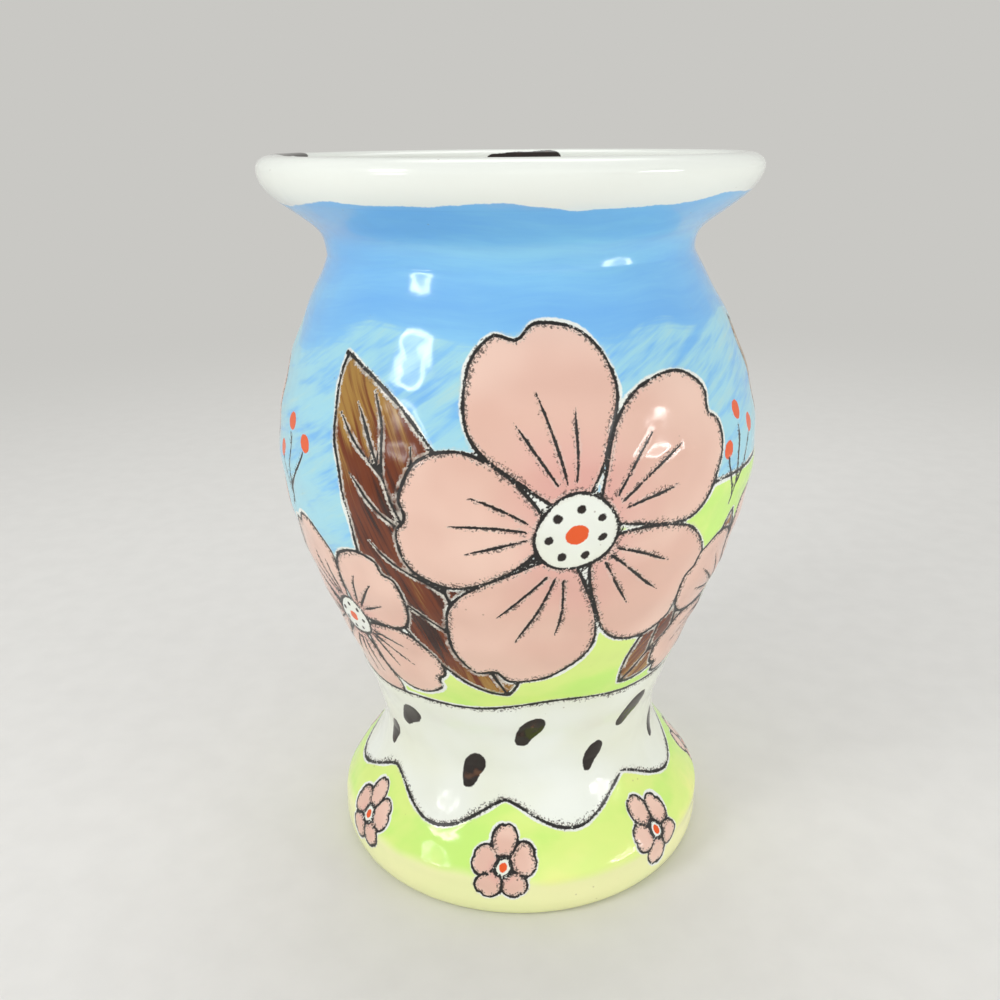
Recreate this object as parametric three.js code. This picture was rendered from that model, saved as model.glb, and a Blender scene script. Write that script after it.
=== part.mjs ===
import * as THREE from 'three';

// Pottery vase: five thrown clay sections stacked on one axis and luted together.
// Millimetres, +Z up, origin on the axis at the surface that the vase stands on.

// Heights of the sections, in the order in which they are stacked
const footHeight = 54.5;
const lowerBowlHeight = 120.5;
const upperBowlHeight = 71;
const collarHeight = 19;
const rimHeight = 15;

// Outside radii of the body
const footEdgeRadius = 78.5;
const waistRadius = 58.4;
const bellyRadius = 92.8;
const neckRadius = 68.3;

// Rolled edge of the foot, and the ring that it stands on
const footEdgeInset = 4.4;
const footEdgeHeight = 9;
const footRingWidth = 7;

// Rim: how far the flare carries it out, and the roll of its lip
const collarFlare = 15.9;
const rimSeatWidth = 9.5;
const lipReach = 6.9;
const lipRollHeight = 4.5;
const lipRollOut = 6;
const lipRollIn = 5.5;

// Walls and floor
const wallThickness = 6.5;
const floorThickness = 8;
const floorFillet = 6;

// How long each curve runs on upright before it turns away from a seam
const footEdgePull = 20;
const waistFootPull = 21.5;
const waistBowlPull = 25;
const bellyLowerPull = 44;
const bellyUpperPull = 33.5;
const neckBowlPull = 4;
const neckCollarPull = 9;
const lipPull = 4;

// The flare's slope where the rim is seated, and its run on both sides of the seam
const flareAngle = THREE.MathUtils.degToRad(37);
const collarFlarePull = 16;
const rimFlarePull = 4;

// Slip that lutes each seam, in a shallow groove under the upper section
const slipWidth = 3;
const slipThickness = 0.9;
const slipClearance = 0.3;

// Fineness of the turned surfaces, and the distance under which two points of an outline are one
const turnSegments = 48;
const bowlSteps = 8;
const footSteps = 8;
const collarSteps = 6;
const rollSteps = 4;
const samePoint = 1e-6;

// Glazes and clay
const limeGlaze = { color: 0xcfe88a, roughness: 0.12 };
const peachGlaze = { color: 0xe6c2b0, roughness: 0.1 };
const skyGlaze = { color: 0x7fb4e4, roughness: 0.1 };
const creamGlaze = { color: 0xefeadb, roughness: 0.1 };
const rawClay = { color: 0xd8cbb6, roughness: 0.9 };

// Each seam is a flat ring where one section stands on the next
const waistSeam = seam(footHeight, waistRadius, wallThickness);
const bellySeam = seam(waistSeam.height + lowerBowlHeight, bellyRadius, wallThickness);
const neckSeam = seam(bellySeam.height + upperBowlHeight, neckRadius, wallThickness);
const rimSeam = seam(neckSeam.height + collarHeight, neckRadius + collarFlare, rimSeatWidth);

function seam(height, outer, width) {
  return { height, outer, inner: outer - width, middle: outer - width / 2 };
}

function point(radius, height) {
  return new THREE.Vector2(radius, height);
}

// A thrown curve between two points, each leaving its end along its own pull
function thrown(start, startPull, end, endPull, steps) {
  const startHandle = start.clone().add(startPull);
  const endHandle = end.clone().add(endPull);
  return new THREE.CubicBezierCurve(start, startHandle, endHandle, end).getPoints(steps);
}

function up(pull) {
  return point(0, pull);
}

function down(pull) {
  return point(0, -pull);
}

// A quarter of an ellipse round a centre, between two angles in quarter turns
function roll(centre, reach, rise, fromQuarter, toQuarter) {
  const from = fromQuarter * Math.PI / 2;
  const to = toQuarter * Math.PI / 2;
  const curve = new THREE.EllipseCurve(centre.x, centre.y, reach, rise, from, to, to < from);
  return curve.getPoints(rollSteps);
}

// The groove for the slip in the bottom of the section above a seam, from the axis outwards
function slipGroove(at) {
  const half = slipWidth / 2 + slipClearance;
  const ceiling = at.height + slipThickness + slipClearance;
  return [
    point(at.middle - half, at.height),
    point(at.middle - half, ceiling),
    point(at.middle + half, ceiling),
    point(at.middle + half, at.height),
  ];
}

// The grooved bottom of a ring-shaped section at a seam, from the inside outwards
function bottomFace(at) {
  return [point(at.inner, at.height), ...slipGroove(at), point(at.outer, at.height)];
}

// An outline without the points that two stretches share
function joined(...stretches) {
  const outline = [];
  for (const next of stretches.flat()) {
    const last = outline.at(-1);
    if (!last || last.distanceTo(next) > samePoint) {
      outline.push(next);
    }
  }
  return outline;
}

function closed(outline) {
  const open = outline[0].distanceTo(outline.at(-1)) > samePoint;
  return open ? [...outline, outline[0].clone()] : outline;
}

// A solid of revolution about the vase's axis
function turned(name, outline, finish) {
  const geometry = new THREE.LatheGeometry(outline, turnSegments);
  geometry.rotateX(Math.PI / 2);
  const mesh = new THREE.Mesh(geometry, new THREE.MeshStandardMaterial({ ...finish, metalness: 0 }));
  mesh.name = name;
  return mesh;
}

// The open skirt that the vase stands on
function footSkirt() {
  const ringOuter = footEdgeRadius - footEdgeInset;
  const ringInner = point(ringOuter - footRingWidth, 0);
  const edge = point(footEdgeRadius, footEdgeHeight);
  const outside = joined(
    roll(point(ringOuter, footEdgeHeight), footEdgeInset, footEdgeHeight, -1, 0),
    thrown(edge, up(footEdgePull), point(waistSeam.outer, waistSeam.height), down(waistFootPull), footSteps),
  );
  const inside = thrown(
    point(waistSeam.inner, waistSeam.height), down(waistFootPull), ringInner, up(footEdgePull), footSteps,
  );
  return turned('foot_skirt', closed(joined([ringInner], outside, inside)), limeGlaze);
}

// The lower half of the body, with the vase's floor
function lowerBowl() {
  const floorHeight = waistSeam.height + floorThickness;
  const underside = [point(0, waistSeam.height), ...slipGroove(waistSeam)];
  const outside = thrown(
    point(waistSeam.outer, waistSeam.height), up(waistBowlPull),
    point(bellySeam.outer, bellySeam.height), down(bellyLowerPull), bowlSteps,
  );
  const inside = thrown(
    point(bellySeam.inner, bellySeam.height), down(bellyLowerPull),
    point(waistSeam.inner, floorHeight + floorFillet), up(waistBowlPull), bowlSteps,
  );
  const filletCentre = point(waistSeam.inner - floorFillet, floorHeight + floorFillet);
  const fillet = roll(filletCentre, floorFillet, floorFillet, 0, -1);
  const outline = joined(underside, outside, inside, fillet, [point(0, floorHeight)]);
  return turned('lower_bowl', outline, peachGlaze);
}

// The upper half of the body, drawn in to the neck
function upperBowl() {
  const outside = thrown(
    point(bellySeam.outer, bellySeam.height), up(bellyUpperPull),
    point(neckSeam.outer, neckSeam.height), down(neckBowlPull), bowlSteps,
  );
  const inside = thrown(
    point(neckSeam.inner, neckSeam.height), down(neckBowlPull),
    point(bellySeam.inner, bellySeam.height), up(bellyUpperPull), bowlSteps,
  );
  return turned('upper_bowl', closed(joined(bottomFace(bellySeam), outside, inside)), skyGlaze);
}

// The collar that flares from the neck to the rim's seat
function collar() {
  const flare = point(-Math.cos(flareAngle), -Math.sin(flareAngle)).multiplyScalar(collarFlarePull);
  const outside = thrown(
    point(neckSeam.outer, neckSeam.height), up(neckCollarPull),
    point(rimSeam.outer, rimSeam.height), flare, collarSteps,
  );
  const inside = thrown(
    point(rimSeam.inner, rimSeam.height), flare,
    point(neckSeam.inner, neckSeam.height), up(neckCollarPull), collarSteps,
  );
  return turned('collar', closed(joined(bottomFace(neckSeam), outside, inside)), skyGlaze);
}

// The rolled rim, with its lip hanging out past the collar
function rimCoil() {
  const lip = point(rimSeam.outer + lipReach, rimSeam.height + rimHeight - lipRollHeight);
  const crest = point(lip.x - lipRollOut, lip.y);
  const flare = point(Math.cos(flareAngle), Math.sin(flareAngle)).multiplyScalar(rimFlarePull);
  const outside = thrown(
    point(rimSeam.outer, rimSeam.height), flare, lip, down(lipPull), collarSteps,
  );
  const rolledOut = roll(crest, lipRollOut, lipRollHeight, 0, 1);
  const rolledIn = roll(crest, lipRollIn, lipRollHeight, 1, 2);
  const outline = closed(joined(bottomFace(rimSeam), outside, rolledOut, rolledIn));
  return turned('rim_coil', outline, creamGlaze);
}

// The ring of slip on the flat top of the section below a seam
function slipRing(name, at) {
  const inner = at.middle - slipWidth / 2;
  const outer = at.middle + slipWidth / 2;
  const top = at.height + slipThickness;
  const outline = [point(inner, at.height), point(outer, at.height), point(outer, top), point(inner, top)];
  return turned(name, closed(outline), rawClay);
}

const vase = new THREE.Group();
vase.add(footSkirt(), lowerBowl(), upperBowl(), collar(), rimCoil());
vase.add(
  slipRing('waist_slip', waistSeam),
  slipRing('belly_slip', bellySeam),
  slipRing('neck_slip', neckSeam),
  slipRing('rim_slip', rimSeam),
);

export default vase;
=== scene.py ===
"""Looks of a hand-thrown pottery vase: turned clay, brushed underglaze, incised lines and a clear glaze.

Lengths are in millimetres and angles in degrees until a mesh is made, which is in metres.
Angles on the skin are counted from the front, which faces -Y, and grow to the right.
"""

import logging
import math
from dataclasses import dataclass, field, replace
from enum import Enum

import bmesh
import bpy
import numpy as np
from bpy.types import AreaLight, Material, Mesh, Node, NodeTree, Object
from mathutils import Matrix, Vector


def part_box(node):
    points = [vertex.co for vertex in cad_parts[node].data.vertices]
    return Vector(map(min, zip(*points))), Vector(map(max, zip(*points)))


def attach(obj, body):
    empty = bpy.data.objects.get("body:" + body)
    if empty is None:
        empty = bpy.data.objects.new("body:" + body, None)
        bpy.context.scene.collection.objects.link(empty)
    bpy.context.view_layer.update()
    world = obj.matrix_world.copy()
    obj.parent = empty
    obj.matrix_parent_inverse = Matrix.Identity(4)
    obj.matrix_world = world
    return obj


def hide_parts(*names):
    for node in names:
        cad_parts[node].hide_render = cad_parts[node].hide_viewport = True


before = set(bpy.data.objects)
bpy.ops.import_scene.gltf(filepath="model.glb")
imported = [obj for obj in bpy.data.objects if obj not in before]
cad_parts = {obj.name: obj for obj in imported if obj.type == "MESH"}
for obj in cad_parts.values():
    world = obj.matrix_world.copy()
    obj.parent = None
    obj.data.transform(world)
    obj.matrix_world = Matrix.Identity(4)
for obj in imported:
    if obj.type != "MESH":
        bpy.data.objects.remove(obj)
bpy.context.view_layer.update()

LOG = logging.getLogger("vase")
MM = 0.001
BODY = "root"

# How finely the clay is divided: round the axis, along each kind of stretch, and close to the seams
SECTOR_STEPS = 18
SECTOR_DOUBLINGS = 5
OUTSIDE_SPACING = 1.1
INSIDE_SPACING = 4.4
FLOOR_SPACING = 9.0
FACE_SPACING = 3.0
SEAM_TUCK = 0.15
FEWEST_POINTS = 3
CURVE_STEPS = 400
ROLL_STEPS = 200

# How far from an edge the paint is measured, and the width of line that distances are noted for
REACH = 7.0
LINE_WIDTH = 1.1

# Distances under which two places are one or a length is nothing, and points measured at a time
SAME_PLACE = 1e-6
NOTHING = 1e-12
BATCH = 4000

# Points of a drawn line between two given ones
PATH_STEPS = 12

# Bending of light in glaze, clay and paper
IOR = 1.5

FLOAT = "NodeSocketFloat"
COLOUR = "NodeSocketColor"
VECTOR = "NodeSocketVector"

# Numbers of the Mix node's colour sockets, which share their names with others
MIX_UNDER, MIX_OVER, MIX_RESULT = 6, 7, 2

Socket = bpy.types.NodeSocket
Feed = float | tuple | Socket
Array = np.ndarray
Pair = tuple[float, float]


class Skin(Enum):
    """What covers a stretch of a clay section."""

    PAINTED = 0
    LINER = 1
    CLAY = 2


class Layer(Enum):
    """Painted areas from the back to the front, named as their mesh attributes are."""

    SKY = "sky"
    MEADOW = "meadow"
    LEAF = "leaf"
    PETAL = "petal"
    CREAM = "cream"
    DAB = "dab"
    DOT = "dot"


class Panel(Enum):
    """Outline of a lamp's panel."""

    STRAIGHT = "RECTANGLE"
    ROUND = "ELLIPSE"


Stretches = list[tuple[Array, Skin]]


def linear(code: str) -> tuple[float, float, float, float]:
    """Turns the six hex digits of a colour as seen on screen into the linear colour of a shader."""
    shares = [int(code[i:i + 2], 16) / 255 for i in (0, 2, 4)]
    return (*[s / 12.92 if s <= 0.04045 else ((s + 0.055) / 1.055) ** 2.4 for s in shares], 1.0)


def resampled(curve: Array, spacing: float) -> Array:
    """Spreads points evenly along a dense curve, with a close row tucked in at each end.

    Args:
        curve: Dense points in order.
        spacing: Distance between points.

    Returns:
        Points along the curve, with both ends kept.
    """
    lengths = np.r_[0, np.cumsum(np.linalg.norm(np.diff(curve, axis=0), axis=1))]
    total = lengths[-1]
    even = np.linspace(0, total, max(FEWEST_POINTS, round(total / spacing) + 1))
    stations = np.r_[0, SEAM_TUCK, even[1:-1], total - SEAM_TUCK, total]
    return np.c_[np.interp(stations, lengths, curve[:, 0]), np.interp(stations, lengths, curve[:, 1])]


def thrown(start: Pair, start_pull: Pair, end: Pair, end_pull: Pair, spacing: float) -> Array:
    """Makes a thrown curve between two points of the outline.

    Args:
        start: First radius and height.
        start_pull: How far, and which way, the curve leaves the start.
        end: Last radius and height.
        end_pull: How far, and which way, the curve leaves the end.
        spacing: Distance between points.

    Returns:
        Rows of radius and height.
    """
    t = np.linspace(0, 1, CURVE_STEPS)[:, None]
    a, d = np.array(start, float), np.array(end, float)
    b, c = a + start_pull, d + end_pull
    curve = (1 - t) ** 3 * a + 3 * (1 - t) ** 2 * t * b + 3 * (1 - t) * t * t * c + t ** 3 * d
    return resampled(curve, spacing)


def rolled(centre: Pair, reach: float, rise: float, first: float, last: float, spacing: float) -> Array:
    """Makes part of an ellipse of the outline, of given half sizes, between two angles in quarter turns."""
    t = np.linspace(first, last, ROLL_STEPS) * math.pi / 2
    return resampled(np.c_[centre[0] + reach * np.cos(t), centre[1] + rise * np.sin(t)], spacing)


def straight(start: Pair, end: Pair, spacing: float) -> Array:
    """Makes a straight stretch of the outline with evenly spread points."""
    return resampled(np.array([start, end], float), spacing)


def eased(value: Array, stations: tuple, levels: tuple) -> Array:
    """Follows levels from station to station with soft turns.

    Args:
        value: Where to read.
        stations: Rising places.
        levels: The level at each place.

    Returns:
        The level at each value.
    """
    stations, levels = np.array(stations, float), np.array(levels, float)
    at = np.clip(np.searchsorted(stations, value) - 1, 0, len(stations) - 2)
    t = np.clip((value - stations[at]) / (stations[at + 1] - stations[at]), 0, 1)
    return levels[at] + (levels[at + 1] - levels[at]) * t * t * (3 - 2 * t)


def wrapped(angle: Array) -> Array:
    """Brings angles between -180 and 180 degrees."""
    return (angle + 180) % 360 - 180


def smooth_path(points: list, steps: int = PATH_STEPS) -> Array:
    """Draws a smooth open line through given points.

    Args:
        points: Points in order.
        steps: Points made between two of them.

    Returns:
        The line's points.
    """
    p = np.array(points, float)
    p = np.vstack([2 * p[0] - p[1], p, 2 * p[-1] - p[-2]])
    t = np.linspace(0, 1, steps, endpoint=False)[:, None]
    stretches = []
    for a, b, c, d in zip(p, p[1:], p[2:], p[3:]):
        bend = 2 * a - 5 * b + 4 * c - d
        twist = 3 * b - a - 3 * c + d
        stretches.append(0.5 * (2 * b + (c - a) * t + bend * t ** 2 + twist * t ** 3))
    return np.vstack([*stretches, p[-2:-1]])


def smooth_loop(points: list) -> Array:
    """Draws a smooth closed line through given points, without its first point at the end."""
    around = smooth_path([*points[-2:], *points, *points[:3]])
    return around[2 * PATH_STEPS:(len(points) + 2) * PATH_STEPS]


def closed(loop: Array) -> Array:
    """A closed line with its first point at the end as well."""
    return np.vstack([loop, loop[:1]])


def circle(steps: int) -> tuple[Array, Array]:
    """Turns round a circle, in radians, and its points at a radius of one, from the top to the right."""
    turns = np.linspace(0, 2 * math.pi, steps, endpoint=False)
    return turns, np.c_[np.sin(turns), np.cos(turns)]


def spun(flat: Array, turn: float) -> Array:
    """Turns a flat drawing to the left, by degrees."""
    cosine, sine = math.cos(math.radians(turn)), math.sin(math.radians(turn))
    return np.c_[flat[:, 0] * cosine - flat[:, 1] * sine, flat[:, 0] * sine + flat[:, 1] * cosine]


def distance_to(points: Array, line: Array) -> tuple[Array, Array]:
    """Measures how far points lie from a line of short straight pieces, and on which side.

    Args:
        points: Places in space, near the vase's skin.
        line: The line's points in space.

    Returns:
        One distance for each place, and 1 or -1 for its side of the line.
    """
    found, side = np.empty(len(points)), np.empty(len(points))
    start, step = line[:-1], np.diff(line, axis=0)
    squared = np.maximum((step ** 2).sum(1), NOTHING)
    for first in range(0, len(points), BATCH):
        part = slice(first, first + BATCH)
        away = points[part, None] - start[None]
        t = np.clip((away * step).sum(2) / squared, 0, 1)
        gaps = ((away - t[..., None] * step) ** 2).sum(2)
        nearest = gaps.argmin(1)
        rows = np.arange(len(nearest))
        found[part] = np.sqrt(gaps[rows, nearest])
        across = np.cross(step[nearest], away[rows, nearest])
        side[part] = np.where((across * points[part] * (1, 1, 0)).sum(1) < 0, -1.0, 1.0)
    return found, side


def enclosed(places: Array, loop: Array) -> Array:
    """Tells which places on the flat lie inside a closed line.

    Args:
        places: Rows of two numbers.
        loop: The line's points.

    Returns:
        True for each place inside.
    """
    x, y = places[:, :1], places[:, 1:]
    ax, ay = loop[:, 0], loop[:, 1]
    bx, by = np.roll(ax, -1), np.roll(ay, -1)
    rise = np.where(by == ay, NOTHING, by - ay)
    crossed = ((ay > y) != (by > y)) & (x < ax + (bx - ax) * (y - ay) / rise)
    return crossed.sum(1) % 2 == 1


@dataclass(frozen=True)
class Wave:
    """A soft wave round the vase or along a row, which may wind and fade with the height."""

    depth: float
    folds: float
    phase: float = 0.0
    twist: float = 0.0
    beat: float = 0.0
    beat_phase: float = math.pi / 2

    def at(self, turn: Array, height: Array | float = 0.0) -> Array:
        """Height of the wave at given turns, in radians, and heights."""
        swing = np.sin(self.folds * turn + self.twist * height + self.phase)
        return self.depth * swing * np.sin(self.beat * height + self.beat_phase)


@dataclass(frozen=True)
class Seam:
    """A flat ring where one thrown section stands on the next."""

    height: float
    outer: float
    inner: float

    @classmethod
    def over(cls, slip: str, slip_width: float, width: float) -> "Seam":
        """Reads a seam from the ring of slip that lies in it.

        Args:
            slip: Name of the slip's node.
            slip_width: Width of the slip.
            width: Width of the seam.

        Returns:
            The seam.
        """
        low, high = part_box(slip)
        middle = high.x / MM - slip_width / 2
        return cls(low.z / MM, middle + width / 2, middle - width / 2)

    @property
    def outside(self) -> Pair:
        """Radius and height of the outer edge."""
        return self.outer, self.height

    @property
    def inside(self) -> Pair:
        """Radius and height of the inner edge."""
        return self.inner, self.height

    @property
    def middle(self) -> float:
        """Radius of the middle."""
        return (self.inner + self.outer) / 2


@dataclass
class ThrownForm:
    """The turned form of the whole vase, from the frame's boxes and the pull of each curve."""

    wall: float = 6.5
    rim_seat: float = 9.5
    slip_width: float = 3.0
    slip_thickness: float = 0.9
    slip_clearance: float = 0.3
    foot_edge_inset: float = 4.4
    foot_edge_height: float = 9.0
    foot_ring_width: float = 7.0
    floor_thickness: float = 8.0
    floor_fillet: float = 6.0
    lip_roll_height: float = 4.5
    lip_roll_out: float = 6.0
    lip_roll_in: float = 5.5
    foot_edge_pull: float = 20.0
    waist_foot_pull: float = 21.5
    waist_bowl_pull: float = 25.0
    belly_lower_pull: float = 44.0
    belly_upper_pull: float = 33.5
    neck_bowl_pull: float = 4.0
    neck_collar_pull: float = 9.0
    lip_pull: float = 4.0
    flare_angle: float = 37.0
    collar_flare_pull: float = 16.0
    rim_flare_pull: float = 4.0

    def __post_init__(self) -> None:
        """Reads the seams and the outer sizes from the frame, and gathers the outer outline."""
        self.waist, self.belly, self.neck = (
            Seam.over(slip, self.slip_width, self.wall) for slip in ("waist_slip", "belly_slip", "neck_slip"))
        self.rim = Seam.over("rim_slip", self.slip_width, self.rim_seat)
        self.foot_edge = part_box("foot_skirt")[1].x / MM
        self.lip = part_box("rim_coil")[1].x / MM
        self.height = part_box("rim_coil")[1].z / MM
        outer = np.vstack([self.foot_outside(), self.lower_outside(), self.upper_outside(),
                           self.collar_outside(), self.rim_outside()])
        self._heights, self._radii = outer[:, 1], outer[:, 0]

    @property
    def ring(self) -> Pair:
        """Inner and outer radius of the ring that the vase stands on."""
        outer = self.foot_edge - self.foot_edge_inset
        return outer - self.foot_ring_width, outer

    @property
    def lip_height(self) -> float:
        """Height of the lip's widest place."""
        return self.height - self.lip_roll_height

    @property
    def floor(self) -> float:
        """Height of the floor inside the vase."""
        return self.waist.height + self.floor_thickness

    def flare(self, pull: float) -> Pair:
        """A pull along the slope of the flare."""
        slope = math.radians(self.flare_angle)
        return pull * math.cos(slope), pull * math.sin(slope)

    def foot_outside(self) -> Array:
        """Makes the outside of the foot, from the standing ring to the waist.

        Returns:
            Rows of radius and height.
        """
        centre = (self.ring[1], self.foot_edge_height)
        edge = (self.foot_edge, self.foot_edge_height)
        roll = rolled(centre, self.foot_edge_inset, self.foot_edge_height, -1, 0, OUTSIDE_SPACING)
        rise = thrown(edge, (0, self.foot_edge_pull), self.waist.outside, (0, -self.waist_foot_pull),
                      OUTSIDE_SPACING)
        return np.vstack([roll[:-2], rise[2:]])

    def lower_outside(self) -> Array:
        """Outside of the lower bowl, from the waist to the belly."""
        return thrown(self.waist.outside, (0, self.waist_bowl_pull),
                      self.belly.outside, (0, -self.belly_lower_pull), OUTSIDE_SPACING)

    def upper_outside(self) -> Array:
        """Outside of the upper bowl, from the belly to the neck."""
        return thrown(self.belly.outside, (0, self.belly_upper_pull),
                      self.neck.outside, (0, -self.neck_bowl_pull), OUTSIDE_SPACING)

    def collar_outside(self) -> Array:
        """Outside of the collar, from the neck to the rim's seat."""
        return thrown(self.neck.outside, (0, self.neck_collar_pull),
                      self.rim.outside, self.flare(-self.collar_flare_pull), OUTSIDE_SPACING)

    def rim_outside(self) -> Array:
        """Outside of the rim, from its seat to the lip."""
        return thrown(self.rim.outside, self.flare(self.rim_flare_pull),
                      (self.lip, self.lip_height), (0, -self.lip_pull), OUTSIDE_SPACING)

    def radius(self, height: Array) -> Array:
        """Outer radius of the skin at given heights."""
        return np.interp(height, self._heights, self._radii)

    def steepness(self, height: Array) -> Array:
        """Length of skin that one millimetre of height takes up."""
        return np.hypot(1, self.radius(height + 0.5) - self.radius(height - 0.5))

    def on_skin(self, angle: Array, height: Array) -> Array:
        """Places on the outer skin, in space, from angles and heights."""
        radius, turn = self.radius(height), np.radians(angle)
        return np.c_[radius * np.sin(turn), -radius * np.cos(turn), height]


@dataclass(frozen=True)
class ThrowingMarks:
    """How the hand left the form: a lean, an oval, dents, a turned foot edge and a rim not quite level."""

    lean_heights: tuple = (0.0, 20.0, 45.0, 70.0, 100.0, 135.0, 180.0, 222.0, 250.0, 285.0)
    lean_shifts: tuple = (0.0, 0.1, -0.3, -0.5, -0.3, 0.2, 0.6, 0.1, -0.8, -0.9)
    rim_tilt: float = 0.0105
    tilt_start: float = 236.0
    oval: Wave = Wave(0.28, 2, phase=0.9 + math.pi / 2, twist=0.011)
    dents: Wave = Wave(0.22, 5, twist=0.045, beat=0.083, beat_phase=0.6)
    wide_dents: Wave = Wave(0.176, 3, phase=1.7, twist=-0.06, beat=0.052)
    throwing_rings: Wave = Wave(0.22, 1, twist=2 * math.pi / 18.5)
    inner_ridges: Wave = Wave(0.45, 1, twist=2 * math.pi / 17.0)
    foot_ridge: float = 0.9
    foot_ridge_height: float = 17.5
    foot_ridge_spread: float = 3.6
    foot_ridge_from: float = 73.0
    flat_height: float = 12.0
    flat_radius: float = 30.0
    axis_radius: float = 1.0

    def settle(self, points: Array, top: float, inside: Array) -> Array:
        """Moves the points of a turned section to where the hand left them.

        Args:
            points: Rows of x, y and z.
            top: Height of the vase.
            inside: True for points of the inner wall.

        Returns:
            The moved points.
        """
        x, y, z = points.T
        turn, radius = np.arctan2(x, -y), np.hypot(x, y)
        waves = (self.oval, self.dents, self.wide_dents, self.throwing_rings)
        swell = sum(wave.at(turn, z) for wave in waves)
        edge = self.foot_ridge * np.exp(-((z - self.foot_ridge_height) / self.foot_ridge_spread) ** 2)
        swell += np.where(radius > self.foot_ridge_from, edge, 0.0)
        swell += np.where(inside, self.inner_ridges.at(turn, z), 0.0)
        swell *= np.clip(z / self.flat_height, 0, 1) * np.clip(radius / self.flat_radius, 0, 1)
        grown = 1 + swell / np.maximum(radius, self.axis_radius)
        tilt = self.rim_tilt * eased(z, (self.tilt_start, top), (0.0, 1.0))
        lean = eased(z, self.lean_heights, self.lean_shifts)
        return np.c_[x * grown + lean, y * grown, z - tilt * x]


@dataclass(frozen=True)
class Place:
    """Where a motif is painted: its middle on the skin, its turn, and the wobble of the hand."""

    angle: float
    height: float
    turn: float = 0.0
    wobble: float = 0.7
    wobble_right: Pair = (0.09, 0.12)
    wobble_up: Pair = (0.13, -0.07)

    def moved(self, angle: float, height: float, turn: float = 0.0) -> "Place":
        """A place so many degrees and millimetres away, with a turn of its own."""
        return Place(self.angle + angle, self.height + height, turn)

    def laid(self, form: ThrownForm, drawing: Array) -> Array:
        """Lays a flat drawing on the skin.

        Args:
            form: The vase's form.
            drawing: Rows of millimetres to the right and up.

        Returns:
            Rows of angle from the middle, and height.
        """
        flat = spun(drawing, self.turn)
        right = flat[:, 0] + self.wobble * np.sin(flat @ self.wobble_right + self.angle)
        height = self.height + flat[:, 1] + self.wobble * np.sin(flat @ self.wobble_up + 2 * self.angle)
        return np.c_[np.degrees(right / form.radius(height)), height]

    def in_space(self, form: ThrownForm, drawing: Array) -> Array:
        """Points in space of a flat drawing on the skin."""
        laid = self.laid(form, drawing)
        return form.on_skin(laid[:, 0] + self.angle, laid[:, 1])


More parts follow.
